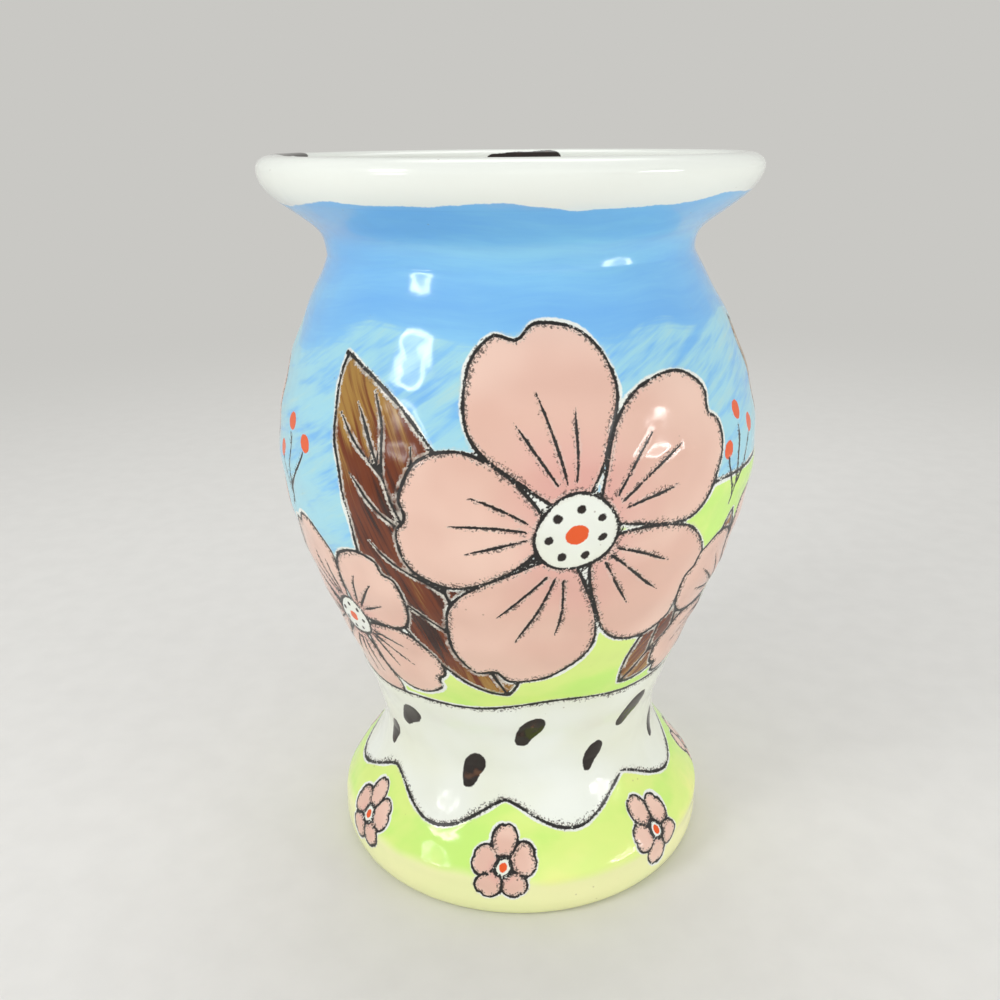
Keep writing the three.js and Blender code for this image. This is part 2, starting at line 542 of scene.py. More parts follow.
@dataclass
class Canvas:
    """The paint on one section's points: how deep each lies in each area, and how near a line."""

    form: ThrownForm
    points: Array
    narrowest: float = 55.0
    thinning: float = 1.6
    thinning_reach: float = 9.0

    def __post_init__(self) -> None:
        """Starts with bare clay."""
        x, y, self.height = self.points.T
        self.angle = np.degrees(np.arctan2(x, -y))
        self.radius = np.hypot(x, y)
        count = len(self.points)
        self.areas = {layer: np.full(count, -REACH) for layer in Layer}
        self.line = np.full(count, REACH)
        self.side = np.full(count, REACH)
        self.blush = np.zeros(count)
        self.grain = np.zeros((count, 3))

    def window(self, place: Place, curve: Array) -> tuple[Array, Array]:
        """Finds the points near a curve.

        Args:
            place: Where it is painted.
            curve: Rows of angle from the place, and height.

        Returns:
            The points' numbers, and their angles from the place with their heights.
        """
        turn = wrapped(self.angle - place.angle)
        margin = math.degrees(REACH / self.narrowest)
        low, high = curve.min(0), curve.max(0)
        near = (turn > low[0] - margin) & (turn < high[0] + margin)
        near &= (self.height > low[1] - REACH) & (self.height < high[1] + REACH)
        at = np.nonzero(near)[0]
        return at, np.c_[turn[at], self.height[at]]

    def depth(self, place: Place, loop: Array) -> tuple[Array, Array]:
        """Measures how deep points lie inside a closed line.

        Args:
            place: Where it is painted.
            loop: Its drawing.

        Returns:
            The numbers of the points near it, and their depths, negative outside it.
        """
        curve = place.laid(self.form, loop)
        at, places = self.window(place, curve)
        if not len(at):
            return at, np.empty(0)
        away, _ = distance_to(self.points[at], place.in_space(self.form, closed(loop)))
        return at, np.clip(np.where(enclosed(places, curve), away, -away), -REACH, REACH)

    def fill(self, layer: Layer, place: Place, loop: Array) -> tuple[Array, Array]:
        """Lays an area over what is painted already, and wipes out what it covers.

        Args:
            layer: The area's paint.
            place: Where it is painted.
            loop: Its drawing.

        Returns:
            The points near the area, and how deep they lie in it.
        """
        at, depth = self.depth(place, loop)
        self.cover(layer, at, depth)
        return at, depth

    def cover(self, layer: Layer, at: Array, depth: Array) -> None:
        """Lays an area over what is painted already, from the depth of each point in it.

        Args:
            layer: The area's paint.
            at: The points' numbers.
            depth: How deep each lies in the area.
        """
        for other, under in self.areas.items():
            if other is not layer:
                under[at] = np.minimum(under[at], -depth)
        self.areas[layer][at] = np.maximum(self.areas[layer][at], depth)
        self.line[at] = np.maximum(self.line[at], np.where(depth > 0, depth, -REACH))

    def touch(self, layer: Layer, place: Place, loop: Array) -> None:
        """Lays a dab over an area without wiping out what is under it."""
        at, depth = self.depth(place, loop)
        self.areas[layer][at] = np.maximum(self.areas[layer][at], depth)

    def incise(self, place: Place, path: Array, width: float, taper: bool = False) -> None:
        """Cuts a line into the clay.

        Args:
            place: Where it is cut.
            path: Its drawing.
            width: Width of the line.
            taper: Whether the line thins out at its end.
        """
        at, _ = self.window(place, place.laid(self.form, path))
        if not len(at):
            return
        line = place.in_space(self.form, path)
        away, side = distance_to(self.points[at], line)
        away *= LINE_WIDTH / width
        if taper:
            left = np.linalg.norm(self.points[at] - line[-1], axis=1)
            away *= 1 + self.thinning * np.clip(1 - left / (self.thinning_reach * width), 0, 1) ** 2
        self.scratch(at, away, side)

    def scratch(self, at: Array, away: Array, side: Array) -> None:
        """Notes a line where it lies nearer than those cut before it.

        Args:
            at: The points' numbers.
            away: How far each lies from the line.
            side: On which side of the line each lies.
        """
        nearer = away < self.line[at]
        self.line[at[nearer]] = away[nearer]
        self.side[at[nearer]] = np.clip(away * side, -REACH, REACH)[nearer]


@dataclass(frozen=True)
class Blossom:
    """A wide open flower with five notched petals round a cream heart, sized in parts of its reach."""

    place: Place
    reach: float
    petal_lengths: tuple = (1.0, 0.93, 1.02, 0.95, 0.98)
    petal_half_widths: tuple = (0.385, 0.375, 0.40, 0.37, 0.39)
    petal_side: tuple = ((0.30, 0.52), (0.60, 1.0), (0.86, 0.80), (0.99, 0.30))
    petal_root: float = 0.7
    petal_notch: float = 0.95
    blush_margin: float = 1.0
    veins: tuple = ((0.0, 0.70), (0.42, 0.58), (-0.42, 0.60))
    vein_start: Pair = (0.3, 0.27)
    vein_bend: Pair = (0.7, 0.44)
    heart_share: float = 0.205
    heart_steps: int = 48
    heart_waver: Wave = Wave(0.05, 3, phase=0.8)
    dot_share: float = 0.055
    seeds: int = 7
    seed_start: float = 0.3
    seed_ring: float = 0.66
    seed_size: float = 0.11
    outline_width: float = 1.15
    vein_width: float = 0.95

    @property
    def heart(self) -> float:
        """Radius of the cream heart."""
        return self.reach * self.heart_share

    def petal(self, length: float, half: float) -> Array:
        """Draws one petal that points up from the flower's middle.

        Args:
            length: From the flower's middle to the petal's tip.
            half: Half the petal's width.

        Returns:
            Its outline on the flat.
        """
        right = [(half * wide, length * along) for along, wide in self.petal_side]
        left = [(-aside, along) for aside, along in reversed(right)]
        root, notch = (0.0, self.heart * self.petal_root), (0.0, length * self.petal_notch)
        return smooth_loop([root, *right, notch, *left])

    def paint(self, canvas: Canvas) -> None:
        """Paints and incises the flower.

        Args:
            canvas: What to paint on.
        """
        count = len(self.petal_lengths)
        for index, shares in enumerate(zip(self.petal_lengths, self.petal_half_widths)):
            place = replace(self.place, turn=self.place.turn + 360 * index / count)
            self.paint_petal(canvas, place, *(self.reach * share for share in shares))
        self.paint_heart(canvas)

    def paint_petal(self, canvas: Canvas, place: Place, length: float, half: float) -> None:
        """Paints one petal, notes how far out its points lie, and incises its outline and veins.

        Args:
            canvas: What to paint on.
            place: The flower's middle, turned to the petal.
            length: From the flower's middle to the petal's tip.
            half: Half the petal's width.
        """
        loop = self.petal(length, half)
        at, depth = canvas.fill(Layer.PETAL, place, loop)
        middle = canvas.form.on_skin(np.array([place.angle]), np.array([place.height]))
        out = np.linalg.norm(canvas.points[at] - middle, axis=1) / length
        canvas.blush[at] = np.where(depth > -self.blush_margin, out, canvas.blush[at])
        canvas.incise(place, closed(loop), self.outline_width)
        for lean, reach in self.veins:
            stations = (self.vein_start, self.vein_bend, (1.0, reach))
            vein = smooth_path([(lean * half * aside, length * along) for aside, along in stations])
            canvas.incise(place, vein, self.vein_width, taper=True)

    def paint_heart(self, canvas: Canvas) -> None:
        """Paints the cream heart, its ring of seeds and the bright dot in its middle.

        Args:
            canvas: What to paint on.
        """
        turns, unit = circle(self.heart_steps)
        disc = unit * self.heart * (1 + self.heart_waver.at(turns)[:, None])
        canvas.fill(Layer.CREAM, self.place, disc)
        canvas.incise(self.place, closed(disc), self.outline_width)
        canvas.touch(Layer.DOT, self.place, unit * self.reach * self.dot_share)
        for turn in np.arange(self.seeds) * 2 * math.pi / max(1, self.seeds) + self.seed_start:
            middle = np.array([math.sin(turn), math.cos(turn)]) * self.heart * self.seed_ring
            canvas.touch(Layer.DAB, self.place, middle + unit * self.heart * self.seed_size)


@dataclass(frozen=True)
class Leaf:
    """A long leaf brushed in streaks along its spine, with an incised midrib and veins."""

    place: Place
    spine: tuple
    half_width: float
    spine_steps: int = 16
    fullness: float = 0.85
    roundness: float = 0.8
    outline_width: float = 1.25
    rib_share: float = 0.88
    vein_width: float = 1.1
    vein_stations: tuple = (0.22, 0.38, 0.54, 0.68)
    vein_steps: int = 9
    vein_reach: float = 0.72
    vein_bow: float = 1.5
    comb_margin: float = 2.0

    def paint(self, canvas: Canvas) -> None:
        """Paints and incises the leaf.

        Args:
            canvas: What to paint on.
        """
        spine = smooth_path(list(self.spine), self.spine_steps)
        steps = np.gradient(spine, axis=0)
        across = np.c_[steps[:, 1], -steps[:, 0]] / np.linalg.norm(steps, axis=1)[:, None]
        share = np.linspace(0, 1, len(spine))
        width = self.half_width * np.sin(math.pi * share ** self.fullness) ** self.roundness
        half = across * width[:, None]
        loop = np.vstack([spine + half, (spine - half)[::-1][1:-1]])
        at, depth = canvas.fill(Layer.LEAF, self.place, loop)
        if len(at):
            self.comb(canvas, at[depth > -self.comb_margin], spine, across)
        canvas.incise(self.place, closed(loop), self.outline_width)
        canvas.incise(self.place, spine[:int(len(spine) * self.rib_share)], self.vein_width, taper=True)
        for station in self.vein_stations:
            start = int(station * len(spine))
            ahead = min(start + self.vein_steps, len(spine) - 1)
            for side in (1, -1):
                tip = spine[ahead] + side * half[ahead] * self.vein_reach
                bend = (spine[start] + tip) / 2 + side * across[start] * self.vein_bow
                vein = smooth_path([spine[start], bend, tip])
                canvas.incise(self.place, vein, self.vein_width, taper=True)

    def comb(self, canvas: Canvas, at: Array, spine: Array, across: Array) -> None:
        """Notes how far along and across the brush stroke each painted point lies.

        Args:
            canvas: What to paint on.
            at: The points' numbers.
            spine: The stroke's middle on the flat.
            across: Steps of one millimetre to its right.
        """
        line = self.place.in_space(canvas.form, spine)
        aside = self.place.in_space(canvas.form, spine + across) - line
        along = np.r_[0, np.cumsum(np.linalg.norm(np.diff(line, axis=0), axis=1))]
        away = canvas.points[at, None] - line[None]
        nearest = (away ** 2).sum(2).argmin(1)
        offset = away[np.arange(len(at)), nearest]
        ahead = np.gradient(line, axis=0)
        ahead /= np.linalg.norm(ahead, axis=1)[:, None]
        canvas.grain[at, 0] = along[nearest] + (offset * ahead[nearest]).sum(1)
        canvas.grain[at, 1] = (offset * aside[nearest]).sum(1)
        canvas.grain[at, 2] = self.place.angle


@dataclass(frozen=True)
class WaistBand:
    """A cream ribbon round the waist with a scalloped hem, spotted with black dabs."""

    top: float = 87.0
    top_waves: tuple = (Wave(2.2, 3, phase=0.7), Wave(0.9, 8))
    hem: float = 37.0
    hem_wave: float = 5.5
    hem_lean: Wave = Wave(1.2, 1)
    scallops: int = 7
    scallop_start: float = 0.35
    scallop_waver: Wave = Wave(0.12, 2)
    scallop_fullness: float = 1.4
    line_width: float = 1.25
    slope_step: float = 0.5
    spots: int = 16
    spot_start: float = 4.0
    spot_heights: tuple = (73.5, 53.5)
    spot_lean: float = -31.0
    spot_sizes: tuple = (1.45, 1.2, 1.55, 1.15, 1.35)
    spot_outline: tuple = ((0.2, 5.8), (2.4, 4.8), (3.1, 1.6), (2.3, -1.6), (1.7, -5.0), (-0.7, -5.9),
                           (-2.2, -3.4), (-2.9, 0.6), (-1.9, 3.9))
    stray_step: Wave = Wave(0.16, 2.1)
    stray_height: Wave = Wave(2.2, 1.7)
    stray_lean: Wave = Wave(11.0, 2.6)

    def edges(self, angle: Array) -> tuple[Array, Array]:
        """Draws the ribbon's edges.

        Args:
            angle: Angles from the front.

        Returns:
            Heights of the top and of the hem.
        """
        turn = np.radians(angle)
        top = self.top + sum(wave.at(turn) for wave in self.top_waves)
        lobe = np.abs(np.sin(self.scallops * turn / 2 + self.scallop_start + self.scallop_waver.at(turn)))
        hem = self.hem + self.hem_wave * (1 - 2 * lobe ** self.scallop_fullness) + self.hem_lean.at(turn)
        return top, hem

    def paint(self, canvas: Canvas) -> None:
        """Paints the ribbon, incises its edges and sets the dabs.

        Args:
            canvas: What to paint on.
        """
        top, hem = self.edges(canvas.angle)
        top_ahead, hem_ahead = self.edges(canvas.angle + self.slope_step)
        run = np.radians(self.slope_step) * canvas.radius
        steep = canvas.form.steepness(canvas.height)
        below = (top - canvas.height) * steep / np.hypot(1, (top_ahead - top) / run * steep)
        above = (canvas.height - hem) * steep / np.hypot(1, (hem_ahead - hem) / run * steep)
        depth = np.clip(np.minimum(below, above), -REACH, REACH)
        at = np.nonzero(depth > -REACH)[0]
        canvas.cover(Layer.CREAM, at, depth[at])
        for edge in (below, above):
            canvas.scratch(at, np.abs(edge[at]) * LINE_WIDTH / self.line_width, np.sign(edge[at]))
        for index in range(self.spots):
            self.spot(canvas, index)

    def spot(self, canvas: Canvas, index: int) -> None:
        """Sets one black dab of two staggered rows, uneven as a loaded brush leaves it.

        Args:
            canvas: What to paint on.
            index: The dab's number.
        """
        angle = 360 * (index + self.stray_step.at(index)) / self.spots + self.spot_start
        height = self.spot_heights[index % 2] + self.stray_height.at(index)
        size = self.spot_sizes[index % len(self.spot_sizes)]
        dab = spun(smooth_loop(list(self.spot_outline)), self.spot_lean + self.stray_lean.at(index)) * size
        canvas.touch(Layer.DAB, Place(angle, height), dab)


@dataclass(frozen=True)
class Berries:
    """A spray of bright dots on thin stalks."""

    place: Place
    stalks: tuple
    stalk_width: float = 0.9
    stalk_gap: int = 5
    dot: float = 3.1
    dot_rise: float = 1.1
    dot_steps: int = 24

    def paint(self, canvas: Canvas) -> None:
        """Paints the berries and incises their stalks.

        Args:
            canvas: What to paint on.
        """
        _, unit = circle(self.dot_steps)
        for stalk in self.stalks:
            path = smooth_path(list(stalk))
            canvas.incise(self.place, path[:-self.stalk_gap], self.stalk_width)
            canvas.touch(Layer.DOT, self.place, unit * (self.dot, self.dot * self.dot_rise) + path[-1])


@dataclass(frozen=True)
class Grounds:
    """The brushed grounds: blue from the rim's border to the hills, green from the hills to the foot."""

    border_turns: tuple = (-180, -140, -100, -67, -37, -15, -4, 13, 36, 55, 80, 120, 150, 180)
    border_heights: tuple = (267.5, 266.2, 266.8, 265.2, 267.7, 267.1, 268.3, 265.8, 266.5, 269.0, 268.4,
                             266.4, 268.0, 267.5)
    border_slope: float = 1.4
    hill_height: float = 150.0
    hill_waves: tuple = (Wave(31.0, 1), Wave(7.0, 3, phase=0.6))
    hill_slope: float = 0.94
    line_width: float = 1.0
    skin_depth: float = 1.0

    def border(self, angle: Array) -> Array:
        """Height of the wavy edge between the cream rim and the blue."""
        return eased(angle, self.border_turns, self.border_heights)

    def hills(self, angle: Array) -> Array:
        """Height of the rolling line between the blue and the green."""
        return self.hill_height + sum(wave.at(np.radians(angle)) for wave in self.hill_waves)

    def paint(self, canvas: Canvas) -> None:
        """Lays both grounds and cuts the line of the hills.

        Args:
            canvas: What to paint on.
        """
        above = canvas.height - self.hills(canvas.angle)
        outer = canvas.radius > canvas.form.radius(canvas.height) - self.skin_depth
        below_border = np.where(outer, self.border(canvas.angle) - canvas.height, -REACH)
        canvas.areas[Layer.SKY] = np.clip(np.minimum(above, below_border * self.border_slope), -REACH, REACH)
        canvas.areas[Layer.MEADOW] = np.clip(-above, -REACH, REACH)
        away = np.abs(above) * self.hill_slope * LINE_WIDTH / self.line_width
        canvas.scratch(np.arange(len(above)), away, np.sign(above))


@dataclass(frozen=True)
class RimDabs:
    """Black dabs brushed along the top of the rim."""

    angles: tuple = (175.5, 262.0, 318.0, 12.0, 66.0)
    half_lengths: tuple = (16.5, 15.0, 17.0, 13.0, 16.0)
    insets: tuple = (12.2, 5.6, 11.5, 12.0, 11.5)
    half_width: float = 4.3
    taper: float = 0.26
    waver: float = 0.06
    waver_pitch: float = 12.5

    def paint(self, canvas: Canvas) -> None:
        """Sets the dabs on the rim's crest and on its inner slope.

        Args:
            canvas: What to paint on.
        """
        form = canvas.form
        dabs = canvas.areas[Layer.DAB]
        for angle, half, inset in zip(self.angles, self.half_lengths, self.insets):
            radius = form.lip - inset
            slope = (form.lip - form.lip_roll_out - radius) / form.lip_roll_in
            height = form.lip_height + form.lip_roll_height * math.sqrt(max(0.0, 1 - slope * slope))
            aside = np.hypot(canvas.radius - radius, canvas.height - height)
            along = np.radians(wrapped(canvas.angle - angle)) * radius
            waver = self.waver * np.sin(2 * math.pi * along / self.waver_pitch + angle)
            width = self.half_width * (1 + waver - self.taper * along / half)
            round_end = np.hypot(np.maximum(np.abs(along) - half + width, 0), aside)
            np.maximum(dabs, np.clip(width - round_end, -REACH, REACH), out=dabs)


@dataclass(frozen=True)
class Decoration:
    """Everything painted on the vase. Shifts are in degrees and millimetres from a large flower's middle."""

    large_flowers: tuple = (Place(12.0, 166.0, 14.0), Place(131.0, 169.0, -20.0), Place(253.0, 164.0, 32.0))
    large_reach: float = 66.0
    small_shift: Pair = (-62.0, -48.0)
    small_turn: float = 40.0
    small_reach: float = 42.0
    foot_flowers: int = 7
    foot_start: float = -5.7
    foot_height: float = 21.5
    foot_spin: float = 25.0
    foot_reach: float = 13.0
    long_leaf_shift: Pair = (-34.0, -8.0)
    long_leaf_spine: tuple = ((24.0, -64.0), (10.0, -22.0), (-9.0, 22.0), (-30.0, 62.0))
    long_leaf_half_width: float = 26.0
    short_leaf_shift: Pair = (38.0, -48.0)
    short_leaf_spine: tuple = ((-22.0, -24.0), (-6.0, -6.0), (8.0, 14.0), (15.0, 40.0))
    short_leaf_half_width: float = 17.0
    berry_shift: Pair = (49.0, 26.0)
    berry_stalks: tuple = (((-9.0, -30.0), (-6.0, -12.0), (-4.0, 2.0)),
                           ((-8.0, -24.0), (2.0, -14.0), (7.0, -4.0)),
                           ((-8.6, -28.0), (-13.0, -18.0), (-15.0, -10.0)))

    def motifs(self) -> list:
        """Lists the motifs in the order in which they are painted.

        Returns:
            The motifs.
        """
        listed: list = [Grounds()]
        for flower in self.large_flowers:
            listed += self.foliage(flower)
        for flower in self.large_flowers:
            small = flower.moved(*self.small_shift, self.small_turn - flower.turn)
            listed += [Blossom(small, self.small_reach), Blossom(flower, self.large_reach)]
        for index in range(self.foot_flowers):
            angle = self.foot_start + 360 / self.foot_flowers * index
            place = Place(angle, self.foot_height, self.foot_spin * index)
            listed.append(Blossom(place, self.foot_reach, veins=(), seeds=0, heart_share=0.26, dot_share=0.12,
                                  outline_width=0.95))
        return listed + [WaistBand(), RimDabs()]

    def foliage(self, flower: Place) -> list:
        """The leaves and berries round one large flower."""
        return [Leaf(flower.moved(*self.long_leaf_shift), self.long_leaf_spine, self.long_leaf_half_width),
                Leaf(flower.moved(*self.short_leaf_shift), self.short_leaf_spine, self.short_leaf_half_width),
                Berries(flower.moved(*self.berry_shift), self.berry_stalks)]

    def paint(self, canvas: Canvas) -> None:
        """Paints every motif on a canvas."""
        for motif in self.motifs():
            motif.paint(canvas)


@dataclass(frozen=True)
class Fleck:
    """Noise of one size: its scale, its layers of detail and how rough they are."""

    scale: float
    detail: float = 2.0
    rough: float = 0.5


@dataclass
class Graph:
    """A node tree, with short ways to add nodes and join them."""

    tree: NodeTree

    def add(self, kind: str, feeds: dict | None = None, **settings: object) -> Node:
        """Adds a node.

        Args:
            kind: The node's type.
            feeds: Values or sockets for its inputs, by name or number.
            settings: The node's own settings.

        Returns:
            The node.
        """
        node = self.tree.nodes.new(kind)
        for name, value in settings.items():
            setattr(node, name, value)
        for name, value in (feeds or {}).items():
            self.feed(node.inputs[name], value)
        return node

    def feed(self, socket: Socket, value: Feed) -> None:
        """Sets an input, or links it to an output.

        Args:
            socket: The input.
            value: A plain value or an output.
        """
        if isinstance(value, Socket):
            self.tree.links.new(value, socket)
        else:
            socket.default_value = value

    def place(self) -> Socket:
        """The place of a point on its piece, in metres."""
        return self.add("ShaderNodeTexCoord").outputs["Object"]

    def axis(self, vector: Socket, name: str) -> Socket:
        """One part of a vector."""
        return self.add("ShaderNodeSeparateXYZ", {0: vector}).outputs[name]

    def moved(self, vector: Socket, **shift: Socket) -> Socket:
        """Shifts a vector along the named axes."""
        by = self.add("ShaderNodeCombineXYZ", shift).outputs[0]
        return self.add("ShaderNodeVectorMath", {0: vector, 1: by}, operation="ADD").outputs[0]

    def stretched(self, vector: Socket, by: tuple) -> Socket:
        """Scales a vector along each axis."""
        return self.add("ShaderNodeVectorMath", {0: vector, 1: by}, operation="MULTIPLY").outputs[0]

    def read(self, name: str, output: str = "Fac") -> Socket:
        """Reads a value painted on the points."""
        return self.add("ShaderNodeAttribute", attribute_name=name).outputs[output]

    def math(self, operation: str, *values: Feed) -> Socket:
        """Works out one to three values."""
        return self.add("ShaderNodeMath", dict(enumerate(values)), operation=operation).outputs[0]

    def times(self, first: Feed, second: Feed) -> Socket:
        """Multiplies two values."""
        return self.math("MULTIPLY", first, second)

    def plus(self, base: Feed, extra: Feed, share: float = 1.0) -> Socket:
        """Adds a share of one value to another."""
        return self.math("MULTIPLY_ADD", extra, share, base)

    def mix(self, share: Feed, under: Feed, over: Feed) -> Socket:
        """Lays one colour over another."""
        feeds = {"Factor": share, MIX_UNDER: under, MIX_OVER: over}
        return self.add("ShaderNodeMix", feeds, data_type="RGBA").outputs[MIX_RESULT]

    def ramp(self, value: Feed, low: Feed, high: Feed) -> Socket:
        """Rises softly from nothing to one between two values."""
        feeds = {"Value": value, "From Min": low, "From Max": high}
        return self.add("ShaderNodeMapRange", feeds, interpolation_type="SMOOTHSTEP").outputs[0]

    def noise(self, vector: Socket, fleck: Fleck) -> Socket:
        """Adds noise round nothing, from about -0.5 to 0.5."""
        feeds = {"Vector": vector, "Scale": fleck.scale, "Detail": fleck.detail, "Roughness": fleck.rough}
        return self.math("SUBTRACT", self.add("ShaderNodeTexNoise", feeds).outputs[0], 0.5)


@dataclass(frozen=True)
class Specks:
    """Round specks: how close they lie, a speck's edge, and the noise that leaves most of them out."""

    scale: float
    edge: Pair
    chosen: Fleck
    rare: Pair

    def mask(self, graph: Graph, where: Socket) -> Socket:
        """Scatters the specks.

        Args:
            graph: The graph that they are added to.
            where: The place of a point.

        Returns:
            Their mask.
        """
        cells = graph.add("ShaderNodeTexVoronoi", {"Vector": where, "Scale": self.scale}, feature="F1")
        kept = graph.ramp(graph.noise(where, self.chosen), *self.rare)
        return graph.times(graph.ramp(cells.outputs["Distance"], *self.edge), kept)


def new_group(name: str, inputs: dict, outputs: dict) -> tuple[Graph, dict, dict]:
    """Starts a shader node group.

    Args:
        name: The group's name.
        inputs: Socket type and default of each input.
        outputs: Socket type of each output.

    Returns:
        The group's graph, its input sockets and its output sockets.
    """
    tree = bpy.data.node_groups.new(name, "ShaderNodeTree")
    for label, (kind, start) in inputs.items():
        tree.interface.new_socket(name=label, in_out="INPUT", socket_type=kind).default_value = start
    for label, kind in outputs.items():
        tree.interface.new_socket(name=label, in_out="OUTPUT", socket_type=kind)
    graph = Graph(tree)
    entry, leave = graph.add("NodeGroupInput"), graph.add("NodeGroupOutput")
    return graph, {s.name: s for s in entry.outputs if s.name}, {s.name: s for s in leave.inputs if s.name}


@dataclass(frozen=True)
class GlazeRipple:
    """A thick glaze: slow ripples, a fine skin and pinholes. Heights are in millimetres."""

    slow: Fleck = Fleck(34.0, 1.0, 0.4)
    quick: Fleck = Fleck(105.0, 1.0)
    quick_share: float = 0.75
    skin: Fleck = Fleck(420.0)
    pinholes: Specks = Specks(95.0, edge=(0.055, 0.02), chosen=Fleck(33.0, 0.0), rare=(0.10, 0.16))
    pin_depth: float = 0.10

    def group(self) -> NodeTree:
        """Builds the shared effect.

        Returns:
            The group, which gives a height and a mask of pinholes.
        """
        graph, given, made = new_group("glaze_ripple", {"Ripple": (FLOAT, 0.12), "Skin": (FLOAT, 0.012)},
                                       {"Height": FLOAT, "Pinholes": FLOAT})
        where = graph.place()
        swell = graph.plus(graph.noise(where, self.slow), graph.noise(where, self.quick), self.quick_share)
        skin = graph.times(graph.noise(where, self.skin), given["Skin"])
        pin = self.pinholes.mask(graph, where)
        surface = graph.math("ADD", graph.times(swell, given["Ripple"]), skin)
        graph.feed(made["Height"], graph.plus(surface, pin, -self.pin_depth))
        graph.feed(made["Pinholes"], pin)
        return graph.tree


@dataclass(frozen=True)
class RaggedEdge:
    """A brushed edge: paint that stops short of its line, unevenly."""

    slow: Fleck = Fleck(60.0, 1.0)
    fine: Fleck = Fleck(620.0, rough=0.6)
    fine_share: float = 0.9

    def group(self) -> NodeTree:
        """Builds the shared effect.

        Returns:
            The group, which gives the mask of the painted area.
        """
        starts = {"Depth": 0.0, "Gap": 0.8, "Uneven": 1.6, "Soft": 0.3, "Drift": 0.0}
        inputs = {name: (FLOAT, start) for name, start in starts.items()}
        graph, given, made = new_group("ragged_edge", inputs, {"Mask": FLOAT})
        moved = graph.moved(graph.place(), X=given["Drift"], Y=given["Drift"])
        slow = graph.times(graph.noise(moved, self.slow), given["Uneven"])
        depth = graph.plus(given["Depth"], graph.noise(moved, self.fine), self.fine_share)
        low = graph.math("SUBTRACT", given["Gap"], given["Soft"])
        high = graph.math("ADD", given["Gap"], given["Soft"])
        graph.feed(made["Mask"], graph.ramp(graph.math("ADD", depth, slow), low, high))
        return graph.tree


@dataclass(frozen=True)
class BrushStreaks:
    """Brush strokes: bristle streaks that wander between three colours."""

    broad: Fleck = Fleck(1.0)
    bristle: Fleck = Fleck(1.0, 3.0, 0.6)
    bristle_stretch: tuple = (1.4, 4.2, 1.0)
    bristle_share: float = 0.75
    middle: Pair = (-0.18, 0.10)
    thin: Pair = (0.14, 0.42)

    def group(self) -> NodeTree:
        """Builds the shared effect.

        Returns:
            The group, which gives the streaked colour and the bristles.
        """
        grey = (0.5, 0.5, 0.5, 1.0)
        graph, given, made = new_group(
            "brush_streaks",
            {"Vector": (VECTOR, (0.0, 0.0, 0.0)), "Deep": (COLOUR, grey), "Middle": (COLOUR, grey),
             "Thin": (COLOUR, grey), "Wet": (FLOAT, 0.0)},
            {"Colour": COLOUR, "Bristle": FLOAT})
        broad = graph.noise(given["Vector"], self.broad)
        bristle = graph.noise(graph.stretched(given["Vector"], self.bristle_stretch), self.bristle)
        strength = graph.math("ADD", graph.plus(broad, bristle, self.bristle_share), given["Wet"])
        colour = graph.mix(graph.ramp(strength, *self.middle), given["Deep"], given["Middle"])
        graph.feed(made["Colour"], graph.mix(graph.ramp(strength, *self.thin), colour, given["Thin"]))
        graph.feed(made["Bristle"], bristle)
        return graph.tree


@dataclass(frozen=True)
class Palette:
    """Colours of the underglazes, as seen on screen."""

    engobe: str = "ebefe8"
    rim: str = "e8ece5"
    sky: str = "74b4ea"
    sky_light: str = "8fd0ee"
    sky_pale: str = "a4d8e2"
    sky_scrub: str = "b9ddd4"
    meadow: str = "d9ef86"
    meadow_warm: str = "e8ef90"
    meadow_deep: str = "c6ee78"
    foot_edge: str = "eeecb6"
    peach: str = "dfb6a5"
    peach_pale: str = "ebc8b7"
    blush: str = "dba199"
    leaf_deep: str = "2e0f04"
    leaf: str = "6c2e0a"
    leaf_thin: str = "a27a38"
    cream: str = "e3e6d4"
    dab: str = "1c110c"
    dab_thin: str = "5a3a26"
    dot: str = "e4571c"
    line: str = "14100e"
    smudge: str = "2c211c"
    burr: str = "d6d0c4"
    speck: str = "8a7460"


